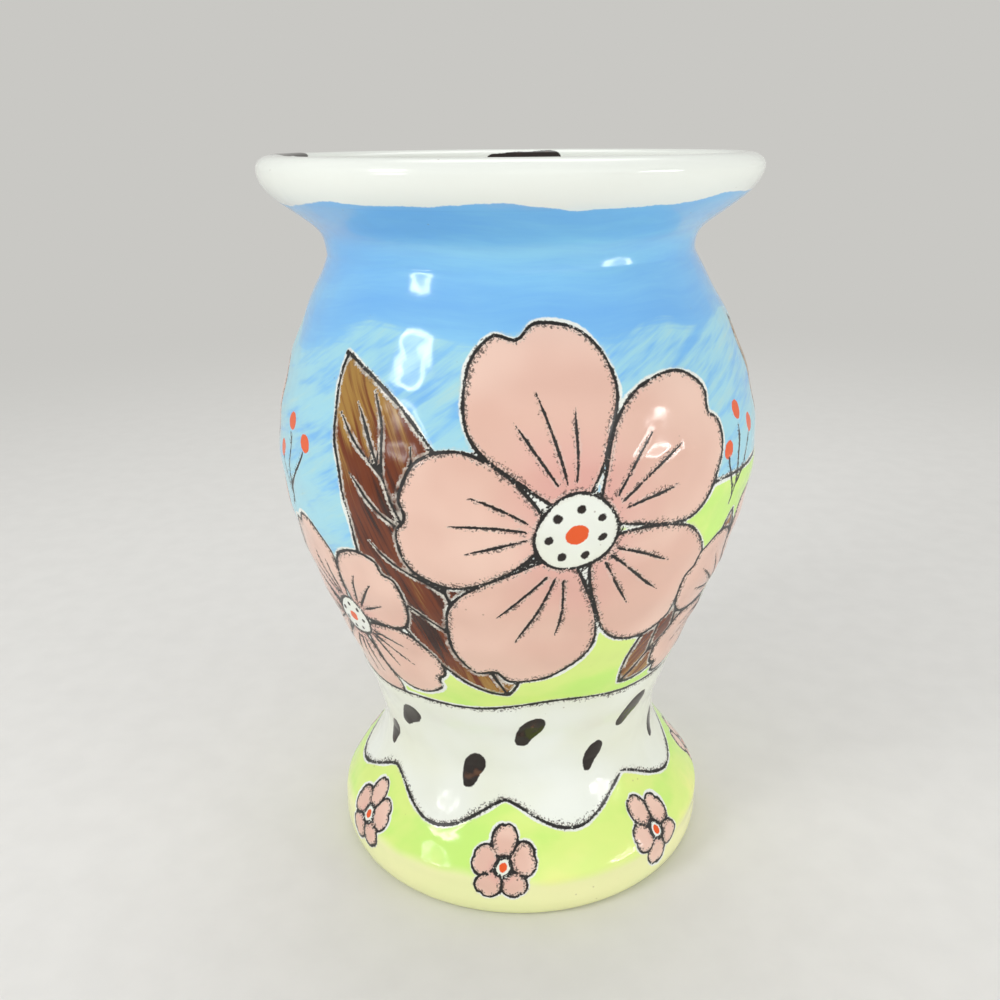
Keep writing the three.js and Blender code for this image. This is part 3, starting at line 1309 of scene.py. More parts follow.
@dataclass(frozen=True)
class SkyPaint:
    """Blue brushed on in long level strokes, with a scrubbed paler coat over the shoulder."""

    wander: Fleck = Fleck(13.0)
    wander_rise: float = 0.022
    broad: Fleck = Fleck(8.0)
    broad_stretch: tuple = (1.0, 1.0, 6.0)
    bristle: Fleck = Fleck(46.0, 3.0, 0.65)
    bristle_stretch: tuple = (1.0, 1.0, 11.0)
    bristle_share: float = 0.30
    light: Pair = (-0.20, 0.34)
    scrub: Fleck = Fleck(30.0, 3.0, 0.65)
    scrub_slant: float = 0.62
    scrub_stretch: tuple = (1.0, 1.0, 8.0)
    scrub_thick: Pair = (0.04, 0.34)
    coat_top: float = 0.226
    coat_fade: float = 0.0025
    coat_wander: float = 0.052
    coat_bristle: float = 0.010
    coat_scrub: float = 0.8
    coat_broad: float = 0.6
    coat_worn: Pair = (-0.20, 0.04)
    coat_strength: float = 0.85

    def colour(self, picture: "Picture") -> Socket:
        """Builds the paint.

        Args:
            picture: The whole picture.

        Returns:
            Its colour.
        """
        graph, where = picture.graph, picture.where
        wander = graph.noise(where, self.wander)
        moved = graph.moved(where, Z=graph.times(wander, self.wander_rise))
        broad = graph.noise(graph.stretched(moved, self.broad_stretch), self.broad)
        bristle = graph.noise(graph.stretched(moved, self.bristle_stretch), self.bristle)
        level = graph.plus(broad, bristle, self.bristle_share)
        base = picture.blend("sky", "sky_light", graph.ramp(level, *self.light))
        slanted = graph.add("ShaderNodeVectorRotate", {"Vector": where, "Angle": self.scrub_slant},
                            rotation_type="Y_AXIS").outputs[0]
        scrub = graph.noise(graph.stretched(slanted, self.scrub_stretch), self.scrub)
        pale = picture.blend("sky_pale", "sky_scrub", graph.ramp(scrub, *self.scrub_thick))
        fringe = graph.plus(graph.axis(where, "Z"), wander, self.coat_wander)
        fringe = graph.plus(fringe, bristle, self.coat_bristle)
        coat = graph.ramp(fringe, self.coat_top + self.coat_fade, self.coat_top - self.coat_fade)
        cover = graph.plus(graph.times(broad, self.coat_broad), scrub, self.coat_scrub)
        coat = graph.times(coat, graph.ramp(cover, *self.coat_worn))
        return graph.mix(graph.times(coat, self.coat_strength), base, pale)


@dataclass(frozen=True)
class MeadowPaint:
    """Lime green with warm and deep washes, thin and pale below the foot's turned edge."""

    wash: Fleck = Fleck(17.0)
    wash_share: float = 1.2
    stroke_stretch: tuple = (14.0, 14.0, 46.0)
    edge_heights: Pair = (0.0205, 0.0150)
    edge_waver: float = 0.014
    edge_strength: float = 0.85

    def colour(self, picture: "Picture") -> Socket:
        """Builds the paint.

        Args:
            picture: The whole picture.

        Returns:
            Its colour.
        """
        graph, where = picture.graph, picture.where
        wash = graph.noise(where, self.wash)
        level, wet = graph.stretched(where, self.stroke_stretch), graph.times(wash, self.wash_share)
        strokes = picture.strokes(level, ("meadow_deep", "meadow", "meadow_warm"), wet)
        ragged = graph.plus(graph.axis(where, "Z"), wash, self.edge_waver)
        edge = graph.times(graph.ramp(ragged, *self.edge_heights), self.edge_strength)
        return graph.mix(edge, strokes["Colour"], picture.tint("foot_edge"))


@dataclass(frozen=True)
class PetalPaint:
    """Peach that blushes towards the flower's heart and pales towards the petals' tips."""

    cloud: Fleck = Fleck(26.0)
    pale: Pair = (-0.1, 0.3)
    heart: Pair = (0.55, 0.12)
    heart_cloud: float = 0.5
    heart_strength: float = 0.75
    tip: Pair = (0.70, 1.02)
    tip_cloud: float = 0.4
    tip_strength: float = 0.75

    def colour(self, picture: "Picture") -> Socket:
        """Builds the paint.

        Args:
            picture: The whole picture.

        Returns:
            Its colour.
        """
        graph, out = picture.graph, picture.graph.read("blush")
        cloud = graph.noise(picture.where, self.cloud)
        heart = graph.ramp(graph.plus(out, cloud, self.heart_cloud), *self.heart)
        tip = graph.ramp(graph.plus(out, cloud, self.tip_cloud), *self.tip)
        base = picture.blend("peach", "peach_pale", graph.ramp(cloud, *self.pale))
        base = graph.mix(graph.times(tip, self.tip_strength), base, picture.tint("peach_pale"))
        return graph.mix(graph.times(heart, self.heart_strength), base, picture.tint("blush"))


@dataclass(frozen=True)
class LeafPaint:
    """Brown brushed along the leaf, thin and golden where the brush is set down and lifts."""

    start: Pair = (34.0, 4.0)
    start_share: float = 0.30
    end: Pair = (84.0, 136.0)
    end_share: float = 0.42
    stretch: tuple = (0.022, 0.17, 0.37)

    def strokes(self, picture: "Picture") -> dict:
        """Builds the paint.

        Args:
            picture: The whole picture.

        Returns:
            Its colour and the relief of its bristles.
        """
        graph = picture.graph
        grain = graph.read("grain", "Vector")
        along = graph.axis(grain, "X")
        start = graph.times(graph.ramp(along, *self.start), self.start_share)
        end = graph.times(graph.ramp(along, *self.end), self.end_share)
        return picture.strokes(graph.stretched(grain, self.stretch), ("leaf_deep", "leaf", "leaf_thin"),
                               graph.math("ADD", start, end))


@dataclass(frozen=True)
class IncisedLines:
    """Crumbly black lines, the crumbs of stain thrown to one side and the pale burr of the tool.

    Widths are in widths of a line. Sides are the share on one side of it, and what the other has more.
    """

    crumb: Fleck = Fleck(900.0, 2.5, 0.65)
    slow: Fleck = Fleck(150.0, 1.0)
    grit: Fleck = Fleck(1300.0, 1.0)
    core_crumb: float = 0.75
    core_slow: float = 0.55
    core_edge: Pair = (0.10, -0.18)
    worn_slow: float = 0.7
    worn: Pair = (0.30, 0.16)
    burr_crumb: float = 2.6
    burr_slow: float = 0.8
    burr_widths: Pair = (1.5, 1.0)
    burr_sides: Pair = (0.6, 0.4)
    lean: Fleck = Fleck(26.0, 0.0)
    lean_share: float = 3.2
    lean_span: Pair = (-0.3, 0.6)
    spray_sides: Pair = (1.45, -0.85)
    spray_crumb: float = 3.6
    spray_slow: float = 0.9
    spray_patches: Fleck = Fleck(58.0, 1.0)
    spray_patch_share: float = 1.7
    spray_widths: Pair = (0.95, 0.45)
    spray_grains: Pair = (0.10, -0.06)

    def masks(self, picture: "Picture") -> tuple[Socket, Socket, Socket]:
        """Builds the lines.

        Args:
            picture: The whole picture.

        Returns:
            The masks of the lines, of the crumbs and of the burr.
        """
        graph, where = picture.graph, picture.where
        signed, near = self.distances(graph)
        crumb, slow, grit = (graph.noise(where, fleck) for fleck in (self.crumb, self.slow, self.grit))
        core = graph.plus(graph.plus(near, crumb, self.core_crumb), slow, self.core_slow)
        core = graph.ramp(core, *(LINE_WIDTH / 2 + edge for edge in self.core_edge))
        core = graph.times(core, graph.ramp(graph.plus(grit, slow, self.worn_slow), *self.worn))
        lean = graph.plus(signed, graph.noise(where, self.lean), self.lean_share)
        lean = graph.ramp(lean, *self.lean_span)
        burr = graph.plus(graph.plus(near, crumb, self.burr_crumb), slow, self.burr_slow)
        burr = graph.ramp(burr, *(LINE_WIDTH * width for width in self.burr_widths))
        burr = graph.times(burr, graph.plus(self.burr_sides[0], lean, self.burr_sides[1]))
        spray = graph.times(near, graph.plus(self.spray_sides[0], lean, self.spray_sides[1]))
        spray = graph.plus(graph.plus(spray, slow, self.spray_slow), crumb, self.spray_crumb)
        spray = graph.plus(spray, graph.noise(where, self.spray_patches), self.spray_patch_share)
        spray = graph.ramp(spray, *(LINE_WIDTH * width for width in self.spray_widths))
        return core, graph.times(spray, graph.ramp(grit, *self.spray_grains)), burr

    def distances(self, graph: Graph) -> tuple[Socket, Socket]:
        """Reads how far a point lies from the nearest line.

        Args:
            graph: The picture's graph.

        Returns:
            The distance signed by its side, and the plain one, which is exact close to a line.
        """
        far, signed = graph.read("line"), graph.read("side")
        close = graph.math("LESS_THAN", far, LINE_WIDTH)
        outside = graph.times(graph.math("SUBTRACT", 1.0, close), far)
        return signed, graph.math("ADD", graph.times(close, graph.math("ABSOLUTE", signed)), outside)


@dataclass(frozen=True)
class Brush:
    """How the paint of one area stops at its outline, which the group of ragged edges makes."""

    gap: float
    uneven: float
    drift: float
    soft: float = 0.3

    def feeds(self) -> dict:
        """Inputs of that group."""
        return {"Gap": self.gap, "Uneven": self.uneven, "Drift": self.drift, "Soft": self.soft}


BRUSHES = {
    Layer.SKY: Brush(gap=1.1, uneven=3.4, drift=0.0),
    Layer.MEADOW: Brush(gap=1.2, uneven=2.8, drift=0.3),
    Layer.LEAF: Brush(gap=0.5, uneven=3.4, drift=0.9, soft=0.35),
    Layer.PETAL: Brush(gap=0.1, uneven=1.5, drift=0.6),
    Layer.CREAM: Brush(gap=0.2, uneven=0.6, drift=0.2),
    Layer.DAB: Brush(gap=0.0, uneven=1.2, drift=0.5, soft=0.25),
    Layer.DOT: Brush(gap=0.0, uneven=0.5, drift=0.1, soft=0.2),
}


@dataclass
class Picture:
    """The painted picture under the glaze, as one node group for every painted section."""

    palette: Palette
    ragged: NodeTree
    streaks: NodeTree
    rim_wash: Fleck = Fleck(11.0)
    rim_span: Pair = (-0.2, 0.2)
    cream_wash: Fleck = Fleck(24.0)
    cream_span: Pair = (-0.25, 0.25)
    dab_wash: Fleck = Fleck(150.0)
    dab_span: Pair = (0.10, 0.30)
    burr_patches: Fleck = Fleck(260.0)
    burr_span: Pair = (-0.22, 0.12)
    burr_strength: float = 0.40
    burr_on_leaf: float = 0.9
    smudge_strength: float = 0.8
    smudge_on_leaf: float = -0.45
    specks: Specks = Specks(210.0, edge=(0.10, 0.05), chosen=Fleck(71.0, 0.0), rare=(0.16, 0.20))
    gloss: float = 0.10
    rough_on_leaf: float = 0.04
    rough_in_line: float = 0.22
    bristle_relief: float = 0.05
    burr_relief: float = 0.06

    def __post_init__(self) -> None:
        """Builds the group."""
        self.graph, self.given, made = new_group(
            "underglaze_picture", {"Line depth": (FLOAT, 0.35), "Speckle": (FLOAT, 0.5)},
            {"Colour": COLOUR, "Roughness": FLOAT, "Height": FLOAT})
        self.where = self.graph.place()
        self.build(made)

    def tint(self, name: str) -> tuple:
        """A colour of the palette."""
        return linear(getattr(self.palette, name))

    def blend(self, under: str, over: str, share: Socket) -> Socket:
        """A mixture of two colours of the palette."""
        return self.graph.mix(share, self.tint(under), self.tint(over))

    def wash(self, under: str, over: str, fleck: Fleck, span: Pair) -> Socket:
        """A cloudy mixture of two colours of the palette."""
        return self.blend(under, over, self.graph.ramp(self.graph.noise(self.where, fleck), *span))

    def area(self, layer: Layer) -> Socket:
        """The brushed mask of one painted area."""
        feeds = {"Depth": self.graph.read(layer.value), **BRUSHES[layer].feeds()}
        return self.graph.add("ShaderNodeGroup", feeds, node_tree=self.ragged).outputs["Mask"]

    def strokes(self, vector: Socket, tints: tuple, wet: Socket) -> dict:
        """Makes brush strokes along a vector.

        Args:
            vector: Along the stroke and across it.
            tints: Names of the deep, the middle and the thin colour.
            wet: How thin the paint lies.

        Returns:
            The colour and the bristles.
        """
        deep, middle, thin = (self.tint(name) for name in tints)
        feeds = {"Vector": vector, "Deep": deep, "Middle": middle, "Thin": thin, "Wet": wet}
        return self.graph.add("ShaderNodeGroup", feeds, node_tree=self.streaks).outputs

    def build(self, made: dict) -> None:
        """Lays the areas over each other, then the lines and specks, and gives the results.

        Args:
            made: The group's output sockets.
        """
        graph = self.graph
        brown = LeafPaint().strokes(self)
        paints = {Layer.SKY: SkyPaint().colour(self), Layer.MEADOW: MeadowPaint().colour(self),
                  Layer.LEAF: brown["Colour"], Layer.PETAL: PetalPaint().colour(self),
                  Layer.CREAM: self.wash("cream", "engobe", self.cream_wash, self.cream_span),
                  Layer.DAB: self.wash("dab", "dab_thin", self.dab_wash, self.dab_span),
                  Layer.DOT: self.tint("dot")}
        masks = {layer: self.area(layer) for layer in Layer}
        colour = self.wash("engobe", "rim", self.rim_wash, self.rim_span)
        for layer, mask in masks.items():
            colour = graph.mix(mask, colour, paints[layer])
        leaf = masks[Layer.LEAF]
        cut, smudge, burr = IncisedLines().masks(self)
        patches = graph.ramp(graph.noise(self.where, self.burr_patches), *self.burr_span)
        strength = graph.plus(self.burr_strength, leaf, self.burr_on_leaf)
        pale = graph.times(graph.times(burr, patches), strength)
        smudge = graph.times(smudge, graph.plus(self.smudge_strength, leaf, self.smudge_on_leaf))
        speck = graph.times(self.specks.mask(graph, self.where), self.given["Speckle"])
        for name, mask in {"burr": pale, "smudge": smudge, "line": cut, "speck": speck}.items():
            colour = graph.mix(mask, colour, self.tint(name))
        rough = graph.plus(graph.plus(self.gloss, leaf, self.rough_on_leaf), cut, self.rough_in_line)
        relief = graph.times(graph.times(leaf, brown["Bristle"]), self.bristle_relief)
        depth = graph.times(cut, graph.times(self.given["Line depth"], -1.0))
        height = graph.math("ADD", relief, graph.plus(depth, burr, self.burr_relief))
        for name, result in {"Colour": colour, "Roughness": rough, "Height": height}.items():
            graph.feed(made[name], result)


def new_material(name: str) -> tuple[Material, Graph, Node]:
    """Starts a material.

    Args:
        name: Its name.

    Returns:
        The material, its graph and its shader.
    """
    made = bpy.data.materials.new(name)
    made.use_nodes = True
    shader = made.node_tree.nodes["Principled BSDF"]
    shader.inputs["IOR"].default_value = IOR
    return made, Graph(made.node_tree), shader


def dress(graph: Graph, shader: Node, colour: Socket, rough: Socket, height: Socket,
          depth: float = 1.0) -> None:
    """Feeds a shader with a finish.

    Args:
        graph: The material's graph.
        shader: Its shader.
        colour: The base colour.
        rough: The roughness.
        height: The relief.
        depth: Millimetres for a height of one.
    """
    bump = graph.add("ShaderNodeBump", {"Height": height, "Distance": depth * MM, "Strength": 1.0})
    for name, value in {"Base Color": colour, "Roughness": rough, "Normal": bump.outputs[0]}.items():
        graph.feed(shader.inputs[name], value)


@dataclass(frozen=True)
class PaintedGlaze:
    """Clear glaze over the painted picture."""

    name: str
    ripple: float = 0.40
    skin: float = 0.010
    line_depth: float = 0.22
    speckle: float = 0.5

    def material(self, picture: Picture, ripple: NodeTree) -> Material:
        """Builds the material.

        Args:
            picture: The painted picture.
            ripple: The group of glaze ripples.

        Returns:
            The material.
        """
        made, graph, shader = new_material(self.name)
        feeds = {"Line depth": self.line_depth, "Speckle": self.speckle}
        paint = graph.add("ShaderNodeGroup", feeds, node_tree=picture.graph.tree).outputs
        glaze = graph.add("ShaderNodeGroup", {"Ripple": self.ripple, "Skin": self.skin}, node_tree=ripple)
        height = graph.math("ADD", paint["Height"], glaze.outputs["Height"])
        dress(graph, shader, paint["Colour"], paint["Roughness"], height)
        return made


@dataclass(frozen=True)
class LinerGlaze:
    """Plain cream glaze on the inside."""

    name: str = "liner_glaze"
    thick: str = "e9e6d8"
    thin: str = "e1dac6"
    pinhole: str = "7d6a54"
    ripple: float = 0.14
    pool: Fleck = Fleck(30.0, 3.0)
    pool_stretch: tuple = (1.0, 1.0, 2.2)
    pool_span: Pair = (-0.05, 0.30)
    gloss: float = 0.08
    pool_rough: float = 0.06

    def material(self, ripple: NodeTree) -> Material:
        """Builds the material.

        Args:
            ripple: The group of glaze ripples.

        Returns:
            The material.
        """
        made, graph, shader = new_material(self.name)
        glaze = graph.add("ShaderNodeGroup", {"Ripple": self.ripple}, node_tree=ripple).outputs
        pooled = graph.noise(graph.stretched(graph.place(), self.pool_stretch), self.pool)
        pooled = graph.ramp(pooled, *self.pool_span)
        colour = graph.mix(pooled, linear(self.thick), linear(self.thin))
        colour = graph.mix(glaze["Pinholes"], colour, linear(self.pinhole))
        dress(graph, shader, colour, graph.plus(self.gloss, pooled, self.pool_rough), glaze["Height"])
        return made


@dataclass(frozen=True)
class RawClay:
    """Bare fired clay where the glaze was wiped off, and in the seams."""

    name: str = "raw_clay"
    body: str = "d3bf9e"
    iron: str = "a98a62"
    sand: Fleck = Fleck(900.0, 3.0, 0.6)
    sand_rough: float = 0.15
    sand_depth: float = 0.25
    stain: Fleck = Fleck(40.0, 3.0)
    stain_sand: float = 0.5
    stain_span: Pair = (0.0, 0.45)
    rough: float = 0.85

    def material(self) -> Material:
        """Builds the material.

        Returns:
            The material.
        """
        made, graph, shader = new_material(self.name)
        where = graph.place()
        sand = graph.noise(where, self.sand)
        stain = graph.plus(graph.noise(where, self.stain), sand, self.stain_sand)
        colour = graph.mix(graph.ramp(stain, *self.stain_span), linear(self.body), linear(self.iron))
        dress(graph, shader, colour, graph.plus(self.rough, sand, self.sand_rough), sand, self.sand_depth)
        return made


@dataclass
class Finishes:
    """All materials of the vase, built once."""

    palette: Palette = Palette()

    def __post_init__(self) -> None:
        """Builds the shared effects and the materials."""
        ripple = GlazeRipple().group()
        picture = Picture(self.palette, RaggedEdge().group(), BrushStreaks().group())
        glazes = (PaintedGlaze("foot_glaze", speckle=0.35), PaintedGlaze("body_glaze"),
                  PaintedGlaze("shoulder_glaze", speckle=0.3),
                  PaintedGlaze("rim_glaze", ripple=0.12, speckle=0.4))
        self.painted = {glaze.name: glaze.material(picture, ripple) for glaze in glazes}
        self.liner = LinerGlaze().material(ripple)
        self.clay = RawClay().material()


def turned(name: str, rows: Array) -> Mesh:
    """Spins an outline round the vase's axis into a closed mesh.

    Args:
        name: The mesh's name.
        rows: Rows of radius and height, closed on themselves or from axis to axis.

    Returns:
        The mesh, whose points carry the number of their row.
    """
    made = bmesh.new()
    number = made.verts.layers.int.new("row")
    on_axis = rows[0][0] < SAME_PLACE and rows[-1][0] < SAME_PLACE
    line = []
    for index, (radius, height) in enumerate(rows):
        line.append(made.verts.new((0.0, radius * MM, height * MM)))
        line[-1][number] = index
    for first, second in zip(line, line[1:] + ([] if on_axis else line[:1])):
        made.edges.new((first, second))
    sector = 2 * math.pi / 2 ** SECTOR_DOUBLINGS
    bmesh.ops.spin(made, geom=made.verts[:] + made.edges[:], cent=(0, 0, 0), axis=(0, 0, 1), angle=sector,
                   steps=SECTOR_STEPS, use_merge=False)
    for doubling in range(SECTOR_DOUBLINGS):
        copy = bmesh.ops.duplicate(made, geom=made.verts[:] + made.edges[:] + made.faces[:])
        corners = [part for part in copy["geom"] if isinstance(part, bmesh.types.BMVert)]
        turn = Matrix.Rotation(sector * 2 ** doubling, 3, "Z")
        bmesh.ops.rotate(made, verts=corners, cent=(0, 0, 0), matrix=turn)
    bmesh.ops.remove_doubles(made, verts=made.verts[:], dist=SAME_PLACE)
    bmesh.ops.recalc_face_normals(made, faces=made.faces[:])
    mesh = bpy.data.meshes.new(name)
    made.to_mesh(mesh)
    made.free()
    return mesh


def mesh_points(mesh: Mesh) -> Array:
    """Reads the points of a mesh.

    Args:
        mesh: The mesh.

    Returns:
        Rows of x, y and z in millimetres.
    """
    points = np.empty(len(mesh.vertices) * 3, np.float32)
    mesh.vertices.foreach_get("co", points)
    return points.reshape(-1, 3).astype(float) / MM


def move_points(mesh: Mesh, points: Array) -> None:
    """Moves the points of a mesh to rows of x, y and z in millimetres."""
    mesh.vertices.foreach_set("co", (points * MM).astype(np.float32).ravel())


def seated(mesh: Mesh, node: str) -> Object:
    """Makes a mesh a piece of the vase.

    Args:
        mesh: The finished mesh.
        node: The node that the piece stands for.

    Returns:
        The piece.
    """
    piece = bpy.data.objects.new(mesh.name, mesh)
    bpy.context.scene.collection.objects.link(piece)
    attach(piece, BODY)
    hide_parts(node)
    LOG.info("%s: %d faces, stands for %s", piece.name, len(mesh.polygons), node)
    return piece


@dataclass
class ClaySection:
    """One thrown section, turned from its outline, settled by hand, painted and glazed."""

    form: ThrownForm
    node: str
    slot: str
    cut_half_width: float = 1.5
    cut_depth: float = 0.28
    cut_sharpness: float = 1.5
    dab_edge: float = 1.4
    dab_thickness: float = 0.14
    crease_angle: float = 38.0

    def outline(self) -> Stretches:
        """The stretches of the section's outline, in order round its clay."""
        raise NotImplementedError

    def groove(self, seam: Seam) -> Array:
        """Makes the bottom of a section at a seam, with the groove for its slip.

        Args:
            seam: The seam.

        Returns:
            Rows of radius and height, from the inside outwards.
        """
        half = self.form.slip_width / 2 + self.form.slip_clearance
        base = seam.height
        ceiling = base + self.form.slip_thickness + self.form.slip_clearance
        low, high = seam.middle - half, seam.middle + half
        corners = [(low, base), (low, ceiling), (high, ceiling), (high, base)]
        return np.array([seam.inside, *corners, seam.outside])

    def seat(self, seam: Seam) -> Array:
        """The flat top of a section at a seam, from the outside inwards."""
        return straight(seam.outside, seam.inside, FACE_SPACING)

    def build(self, marks: ThrowingMarks, decoration: Decoration, finishes: Finishes) -> Object:
        """Makes the section, sets it on its body and lets it stand for its node.

        Args:
            marks: How the hand left the form.
            decoration: What is painted on it.
            finishes: The materials.

        Returns:
            The finished piece.
        """
        rows, skins = self.rows()
        mesh = turned(f"{self.node}_clay", rows)
        row = np.empty(len(mesh.vertices), np.int32)
        mesh.attributes["row"].data.foreach_get("value", row)
        self.cover(mesh, row, skins)
        canvas = Canvas(self.form, mesh_points(mesh))
        self.paint(mesh, canvas, decoration)
        worked = self.worked(mesh, canvas, self.within(row, skins, Skin.PAINTED))
        move_points(mesh, marks.settle(worked, self.form.height, self.within(row, skins, Skin.LINER)))
        mesh.shade_smooth()
        mesh.set_sharp_from_angle(angle=math.radians(self.crease_angle))
        for material in (finishes.painted[self.slot], finishes.liner, finishes.clay):
            mesh.materials.append(material)
        return seated(mesh, self.node)

    def rows(self) -> tuple[Array, Array]:
        """Joins the outline's stretches.

        Returns:
            Rows of radius and height, and the number of the skin between each row and the next.
        """
        rows, skins = [], []
        for points, skin in self.outline():
            if rows and np.allclose(rows[-1], points[0], atol=SAME_PLACE):
                points = points[1:]
            rows.extend(points)
            skins.extend([skin.value] * len(points))
        skins = skins[1:] + skins[:1]
        if np.allclose(rows[0], rows[-1], atol=SAME_PLACE):
            rows, skins = rows[:-1], skins[:-1]
        return np.array(rows), np.array(skins, np.int32)

    def cover(self, mesh: Mesh, row: Array, skins: Array) -> None:
        """Gives each face the number of its skin's material.

        Args:
            mesh: The turned mesh.
            row: The row of each point.
            skins: The skin between each row and the next.
        """
        corners = np.empty(len(mesh.loops), np.int32)
        mesh.loops.foreach_get("vertex_index", corners)
        starts = np.empty(len(mesh.polygons), np.int32)
        mesh.polygons.foreach_get("loop_start", starts)
        low, high = (pick.reduceat(row[corners], starts) for pick in (np.minimum, np.maximum))
        mesh.polygons.foreach_set("material_index", skins[np.where(high - low > 1, high, low)])

    def within(self, row: Array, skins: Array, skin: Skin) -> Array:
        """Tells which points lie within the stretches of one skin, away from their edges."""
        alike = skins == skin.value
        return (alike & np.roll(alike, 1) & np.roll(alike, 2) & np.roll(alike, -1))[row]

    def worked(self, mesh: Mesh, canvas: Canvas, painted: Array) -> Array:
        """Cuts the incised lines into the painted skin and raises the thick black dabs.

        Args:
            mesh: The turned mesh.
            canvas: The paint on its points.
            painted: True for points within the painted skin.

        Returns:
            The moved points.
        """
        normals = np.empty(len(mesh.vertices) * 3, np.float32)
        mesh.vertex_normals.foreach_get("vector", normals)
        cut = np.clip(1 - canvas.line / self.cut_half_width, 0, 1) ** self.cut_sharpness * self.cut_depth
        raised = np.clip(canvas.areas[Layer.DAB] / self.dab_edge, 0, 1) * self.dab_thickness
        return canvas.points + normals.reshape(-1, 3) * np.where(painted, raised - cut, 0.0)[:, None]

    def paint(self, mesh: Mesh, canvas: Canvas, decoration: Decoration) -> None:
        """Paints the section and keeps the paint as values on its points.

        Args:
            mesh: The turned mesh.
            canvas: The bare canvas on its points.
            decoration: What is painted on it.
        """
        decoration.paint(canvas)
        values = {layer.value: depth for layer, depth in canvas.areas.items()}
        values |= {"line": canvas.line, "side": canvas.side, "blush": canvas.blush}
        for name, value in values.items():
            mesh.attributes.new(name, "FLOAT", "POINT").data.foreach_set("value", value.astype(np.float32))
        grain = mesh.attributes.new("grain", "FLOAT_VECTOR", "POINT")
        grain.data.foreach_set("vector", canvas.grain.astype(np.float32).ravel())


@dataclass
class FootSkirt(ClaySection):
    """The open foot, glazed outside and bare where it stands."""

    node: str = "foot_skirt"
    slot: str = "foot_glaze"

    def outline(self) -> Stretches:
        """Draws the standing ring, the outside, the seam and the hollow inside.

        Returns:
            The stretches in order.
        """
        form, waist = self.form, self.form.waist
        inner, outer = form.ring
        ring = straight((inner, 0.0), (outer, 0.0), FACE_SPACING)
        hollow = thrown(waist.inside, (0, -form.waist_foot_pull), (inner, 0.0), (0, form.foot_edge_pull),
                        INSIDE_SPACING)
        return [(ring, Skin.CLAY), (form.foot_outside(), Skin.PAINTED), (self.seat(waist), Skin.CLAY),
                (hollow, Skin.CLAY)]


@dataclass
class LowerBowl(ClaySection):
    """The lower half of the body, with the floor."""

    node: str = "lower_bowl"
    slot: str = "body_glaze"

    def outline(self) -> Stretches:
        """Draws the underside, the outside, the seam and the inside down to the floor.

        Returns:
            The stretches in order.
        """
        form, waist, belly = self.form, self.form.waist, self.form.belly
        underside = straight((0.0, waist.height), waist.inside, FLOOR_SPACING)
        corner = (waist.inner, form.floor + form.floor_fillet)
        inside = thrown(belly.inside, (0, -form.belly_lower_pull), corner, (0, form.waist_bowl_pull),
                        INSIDE_SPACING)
        centre = (waist.inner - form.floor_fillet, corner[1])
        fillet = rolled(centre, form.floor_fillet, form.floor_fillet, 0, -1, INSIDE_SPACING)
        floor = straight((centre[0], form.floor), (0.0, form.floor), FLOOR_SPACING)
        return [(underside, Skin.CLAY), (self.groove(waist), Skin.CLAY), (form.lower_outside(), Skin.PAINTED),
                (self.seat(belly), Skin.CLAY), (inside, Skin.LINER), (fillet, Skin.LINER),
                (floor, Skin.LINER)]


@dataclass
class UpperBowl(ClaySection):
    """The upper half of the body, drawn in to the neck."""

    node: str = "upper_bowl"
    slot: str = "shoulder_glaze"

    def outline(self) -> Stretches:
        """Draws the grooved bottom, the outside, the seam and the inside.

        Returns:
            The stretches in order.
        """
        form, belly, neck = self.form, self.form.belly, self.form.neck
        inside = thrown(neck.inside, (0, -form.neck_bowl_pull), belly.inside, (0, form.belly_upper_pull),
                        INSIDE_SPACING)
        return [(self.groove(belly), Skin.CLAY), (form.upper_outside(), Skin.PAINTED),
                (self.seat(neck), Skin.CLAY), (inside, Skin.LINER)]


@dataclass
class Collar(ClaySection):
    """The flare from the neck to the rim's seat."""

    node: str = "collar"
    slot: str = "shoulder_glaze"

    def outline(self) -> Stretches:
        """Draws the grooved bottom, the outside, the seat and the inside.

        Returns:
            The stretches in order.
        """
        form, neck, rim = self.form, self.form.neck, self.form.rim
        inside = thrown(rim.inside, form.flare(-form.collar_flare_pull), neck.inside,
                        (0, form.neck_collar_pull), INSIDE_SPACING)
        return [(self.groove(neck), Skin.CLAY), (form.collar_outside(), Skin.PAINTED),
                (self.seat(rim), Skin.CLAY), (inside, Skin.LINER)]


@dataclass
class RimCoil(ClaySection):
    """The rolled rim, painted all round down to its inner seat."""

    node: str = "rim_coil"
    slot: str = "rim_glaze"

    def outline(self) -> Stretches:
        """Draws the grooved bottom, the outside, the roll over the crest and the inside.

        Returns:
            The stretches in order.
        """
        form, rim = self.form, self.form.rim
        crest = (form.lip - form.lip_roll_out, form.lip_height)
        rolled_out = rolled(crest, form.lip_roll_out, form.lip_roll_height, 0, 1, OUTSIDE_SPACING)
        rolled_in = rolled(crest, form.lip_roll_in, form.lip_roll_height, 1, 2, OUTSIDE_SPACING)
        inside = straight((crest[0] - form.lip_roll_in, form.lip_height), rim.inside, OUTSIDE_SPACING)
        return [(self.groove(rim), Skin.CLAY), (form.rim_outside(), Skin.PAINTED), (rolled_out, Skin.PAINTED),
                (rolled_in, Skin.PAINTED), (inside, Skin.PAINTED)]


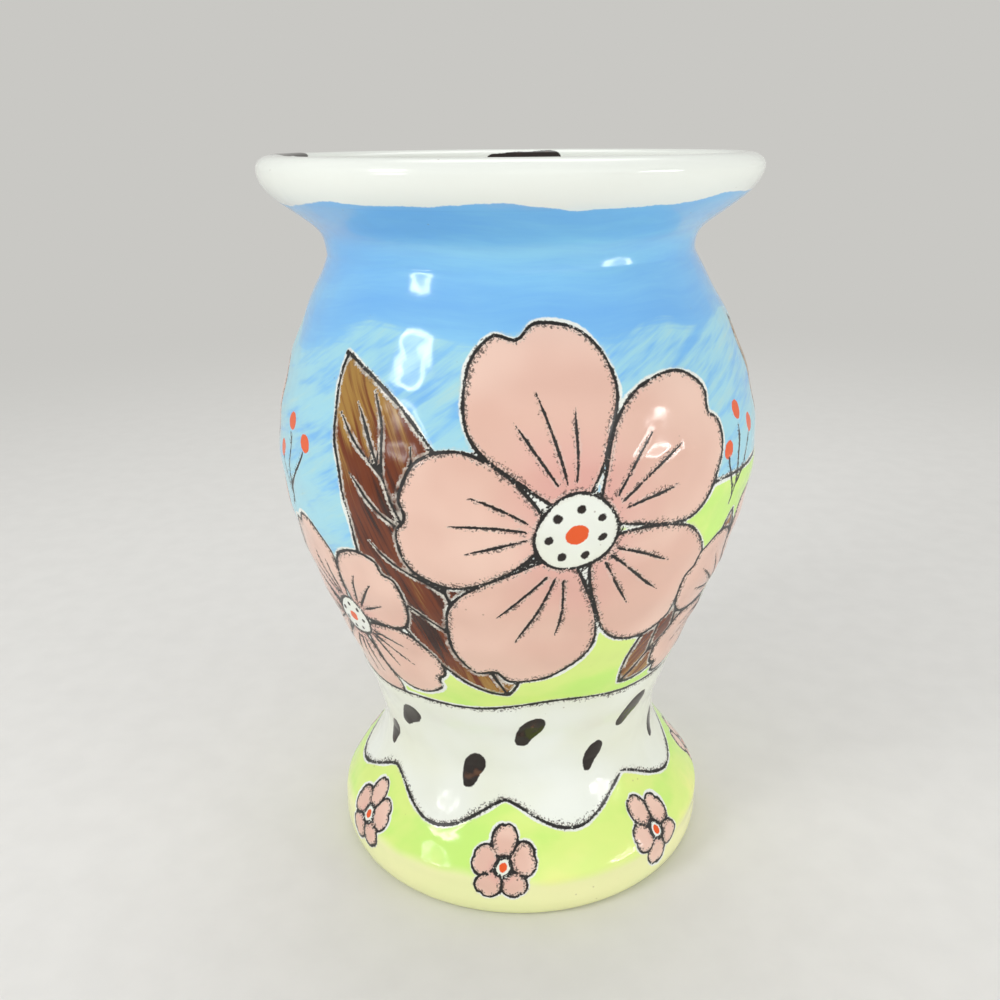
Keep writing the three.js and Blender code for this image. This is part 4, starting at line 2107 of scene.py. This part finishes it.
@dataclass
class SlipRing:
    """The ring of slip in one seam."""

    form: ThrownForm
    node: str
    seam: Seam
    slot: str = "raw_clay"
    edge: float = 0.25

    def build(self, marks: ThrowingMarks, finishes: Finishes) -> Object:
        """Makes the ring with soft upper edges and sets it on its body.

        Args:
            marks: How the hand left the form.
            finishes: The materials.

        Returns:
            The finished piece.
        """
        half, low = self.form.slip_width / 2, self.seam.height
        inner, outer, top = self.seam.middle - half, self.seam.middle + half, low + self.form.slip_thickness
        rows = np.array([(inner, low), (outer, low), (outer, top - self.edge), (outer - self.edge, top),
                         (inner + self.edge, top), (inner, top - self.edge)])
        mesh = turned(f"{self.node}_ring", rows)
        points = mesh_points(mesh)
        move_points(mesh, marks.settle(points, self.form.height, np.zeros(len(points), bool)))
        mesh.materials.append(finishes.clay)
        return seated(mesh, self.node)


@dataclass
class Vase:
    """The whole vase."""

    form: ThrownForm = field(default_factory=ThrownForm)
    marks: ThrowingMarks = ThrowingMarks()
    decoration: Decoration = Decoration()

    def build(self, finishes: Finishes) -> None:
        """Builds every section and every ring of slip.

        Args:
            finishes: The materials.
        """
        form = self.form
        for section in (FootSkirt, LowerBowl, UpperBowl, Collar, RimCoil):
            section(form).build(self.marks, self.decoration, finishes)
        seams = {"waist_slip": form.waist, "belly_slip": form.belly, "neck_slip": form.neck,
                 "rim_slip": form.rim}
        for node, seam in seams.items():
            SlipRing(form, node, seam).build(self.marks, finishes)


@dataclass(frozen=True)
class Softbox:
    """A flat lamp that looks at the vase. Sizes are in metres, angles are from the front and from level."""

    name: str
    turn: float
    rise: float
    width: float
    height: float
    power: float
    distance: float = 2.2
    feather: float = 0.7
    target: tuple = (0.0, 0.0, 0.16)

    @property
    def pose(self) -> Matrix:
        """Works out the place and turn of the lamp's middle.

        Returns:
            The pose.
        """
        turn, rise = math.radians(self.turn), math.radians(self.rise)
        away = Vector((math.sin(turn) * math.cos(rise), -math.cos(turn) * math.cos(rise), math.sin(rise)))
        pose = (-away).to_track_quat("-Z", "Y").to_matrix().to_4x4()
        pose.translation = Vector(self.target) + away * self.distance
        return pose

    def build(self) -> None:
        """Hangs the lamp as one panel."""
        self.panel(Panel.STRAIGHT, (self.width, self.height), self.power)

    def panel(self, outline: Panel, size: Pair, power: float, shift: Pair = (0.0, 0.0)) -> None:
        """Hangs one flat panel of the lamp.

        Args:
            outline: The panel's outline.
            size: Its width and height.
            power: Its power in watts.
            shift: Its way to the right and up from the lamp's middle.
        """
        lamp = bpy.data.lights.new(self.name, "AREA")
        lamp.shape, lamp.energy = outline.value, power
        lamp.size, lamp.size_y = size
        self.soften(lamp)
        holder = bpy.data.objects.new(self.name, lamp)
        holder.matrix_world = self.pose @ Matrix.Translation((*shift, 0.0))
        bpy.context.scene.collection.objects.link(holder)

    def soften(self, lamp: AreaLight) -> None:
        """Lets the light fade towards the panel's edges, as it does through stretched cloth.

        Args:
            lamp: The panel.
        """
        lamp.use_nodes = True
        graph = Graph(lamp.node_tree)
        place = graph.add("ShaderNodeNewGeometry").outputs["Parametric"]
        fades = []
        for axis in ("X", "Y"):
            off = graph.math("ABSOLUTE", graph.plus(-1.0, graph.axis(place, axis), 2.0))
            fades.append(graph.ramp(off, 1.0, 1.0 - self.feather))
        graph.feed(lamp.node_tree.nodes["Emission"].inputs["Strength"], graph.times(*fades))


@dataclass(frozen=True)
class RingLamp(Softbox):
    """A ring of small round panels round a fainter middle, which shows as a soft ring in the glaze."""

    distance: float = 1.05
    feather: float = 0.4
    panels: int = 14
    thickness: float = 0.24
    middle_size: float = 0.8
    middle_share: float = 0.16

    def build(self) -> None:
        """Hangs the panels round the lamp's middle, and the middle."""
        across, up = self.width * self.thickness, self.height * self.thickness
        power = self.power * (1 - self.middle_share) / self.panels
        for index in range(self.panels):
            turn = 2 * math.pi * index / self.panels
            shift = ((self.width - across) / 2 * math.cos(turn), (self.height - up) / 2 * math.sin(turn))
            self.panel(Panel.ROUND, (across, up), power, shift)
        middle = (self.width * self.middle_size, self.height * self.middle_size)
        self.panel(Panel.STRAIGHT, middle, self.power * self.middle_share)


@dataclass
class Studio:
    """A pale floor, a plain backdrop, soft lamps and the camera. Sizes are in metres."""

    floor_radius: float = 9.0
    floor_steps: int = 96
    floor_fade: Pair = (0.35, 1.3)
    floor_colour: str = "dcdbd7"
    floor_light: str = "e0dfdb"
    floor_fibres: Fleck = Fleck(60.0, 3.0)
    floor_span: Pair = (-0.3, 0.3)
    floor_rough: float = 0.7
    backdrop_colour: str = "c9c8c4"
    world_strength: float = 0.65
    lamps: tuple = (
        RingLamp("key_ring", turn=-54.0, rise=31.0, width=0.29, height=0.27, power=3.1),
        RingLamp("low_ring", turn=-50.0, rise=7.0, width=0.32, height=0.34, power=1.8),
        RingLamp("side_ring", turn=62.0, rise=4.0, width=0.40, height=0.25, power=3.6),
        Softbox("key_softbox", turn=-50.0, rise=34.0, width=2.8, height=2.4, power=5.0),
        Softbox("front_softbox", turn=24.0, rise=14.0, width=4.0, height=2.4, power=18.8, distance=2.6),
        Softbox("back_softbox", turn=172.0, rise=64.0, width=2.2, height=1.6, power=27.0),
    )
    camera_distance: float = 0.387
    camera_height: float = 0.28603
    camera_pitch: float = 20.059
    camera_yaw: float = 0.999
    camera_roll: float = 1.135
    camera_near: float = 0.01
    lens: float = 36.0
    sensor: float = 36.0

    def build(self) -> None:
        """Builds the studio."""
        self.build_floor()
        self.build_world()
        self.build_camera()
        for lamp in self.lamps:
            lamp.build()
        bpy.context.scene.view_settings.view_transform = "Standard"

    def build_floor(self) -> None:
        """Makes the floor, which fades into the backdrop far from the vase."""
        made = bmesh.new()
        bmesh.ops.create_circle(made, cap_ends=True, radius=self.floor_radius, segments=self.floor_steps)
        mesh = bpy.data.meshes.new("floor_disc")
        made.to_mesh(mesh)
        made.free()
        mesh.materials.append(self.floor_paper())
        floor = bpy.data.objects.new("floor_disc", mesh)
        bpy.context.scene.collection.objects.link(floor)

    def floor_paper(self) -> Material:
        """Makes the floor's paper.

        Returns:
            The material.
        """
        material, graph, shader = new_material("floor_paper")
        where = graph.place()
        fibres = graph.ramp(graph.noise(where, self.floor_fibres), *self.floor_span)
        shade = graph.mix(fibres, linear(self.floor_colour), linear(self.floor_light))
        graph.feed(shader.inputs["Base Color"], shade)
        shader.inputs["Roughness"].default_value = self.floor_rough
        far = graph.add("ShaderNodeVectorMath", {0: where}, operation="LENGTH").outputs["Value"]
        share = graph.times(graph.ramp(far, *self.floor_fade), self.seen_directly(graph))
        backdrop = graph.add("ShaderNodeEmission", {"Color": linear(self.backdrop_colour), "Strength": 1.0})
        both = graph.add("ShaderNodeMixShader", {0: share, 1: shader.outputs[0], 2: backdrop.outputs[0]})
        graph.feed(material.node_tree.nodes["Material Output"].inputs["Surface"], both.outputs[0])
        return material

    def seen_directly(self, graph: Graph) -> Socket:
        """Tells rays that show the backdrop itself from those that carry its light.

        Args:
            graph: The graph of the floor or of the world.

        Returns:
            One for the former and nothing for the latter.
        """
        rays = graph.add("ShaderNodeLightPath").outputs
        mirrored = graph.math("MAXIMUM", rays["Is Glossy Ray"], rays["Is Transmission Ray"])
        return graph.math("MAXIMUM", rays["Is Camera Ray"], mirrored)

    def build_world(self) -> None:
        """Lights the room evenly, behind a plain pale backdrop."""
        world = bpy.data.worlds.new("studio")
        world.use_nodes = True
        graph = Graph(world.node_tree)
        room = (self.world_strength, self.world_strength, self.world_strength, 1.0)
        colour = graph.mix(self.seen_directly(graph), room, linear(self.backdrop_colour))
        graph.feed(world.node_tree.nodes["Background"].inputs["Color"], colour)
        bpy.context.scene.world = world

    def build_camera(self) -> None:
        """Sets the camera where the photograph was taken from."""
        pitch, yaw, roll = (math.radians(a) for a in (self.camera_pitch, self.camera_yaw, self.camera_roll))
        ahead = Vector((-math.sin(yaw) * math.cos(pitch), math.cos(yaw) * math.cos(pitch), -math.sin(pitch)))
        level = Vector((math.cos(yaw), math.sin(yaw), 0.0))
        plumb = ahead.cross(level)
        right = level * math.cos(roll) + plumb * math.sin(roll)
        down = plumb * math.cos(roll) - level * math.sin(roll)
        lens = bpy.data.cameras.new("camera")
        lens.sensor_width, lens.lens, lens.clip_start = self.sensor, self.lens, self.camera_near
        camera = bpy.data.objects.new("camera", lens)
        turn = Matrix((right, -down, -ahead)).transposed().to_4x4()
        camera.matrix_world = Matrix.Translation((0.0, -self.camera_distance, self.camera_height)) @ turn
        bpy.context.scene.collection.objects.link(camera)
        bpy.context.scene.camera = camera


def main() -> None:
    """Builds the vase in its studio."""
    logging.basicConfig(level=logging.INFO, format="%(name)s %(message)s")
    Vase().build(Finishes())
    Studio().build()


if __name__ == "__main__":
    main()
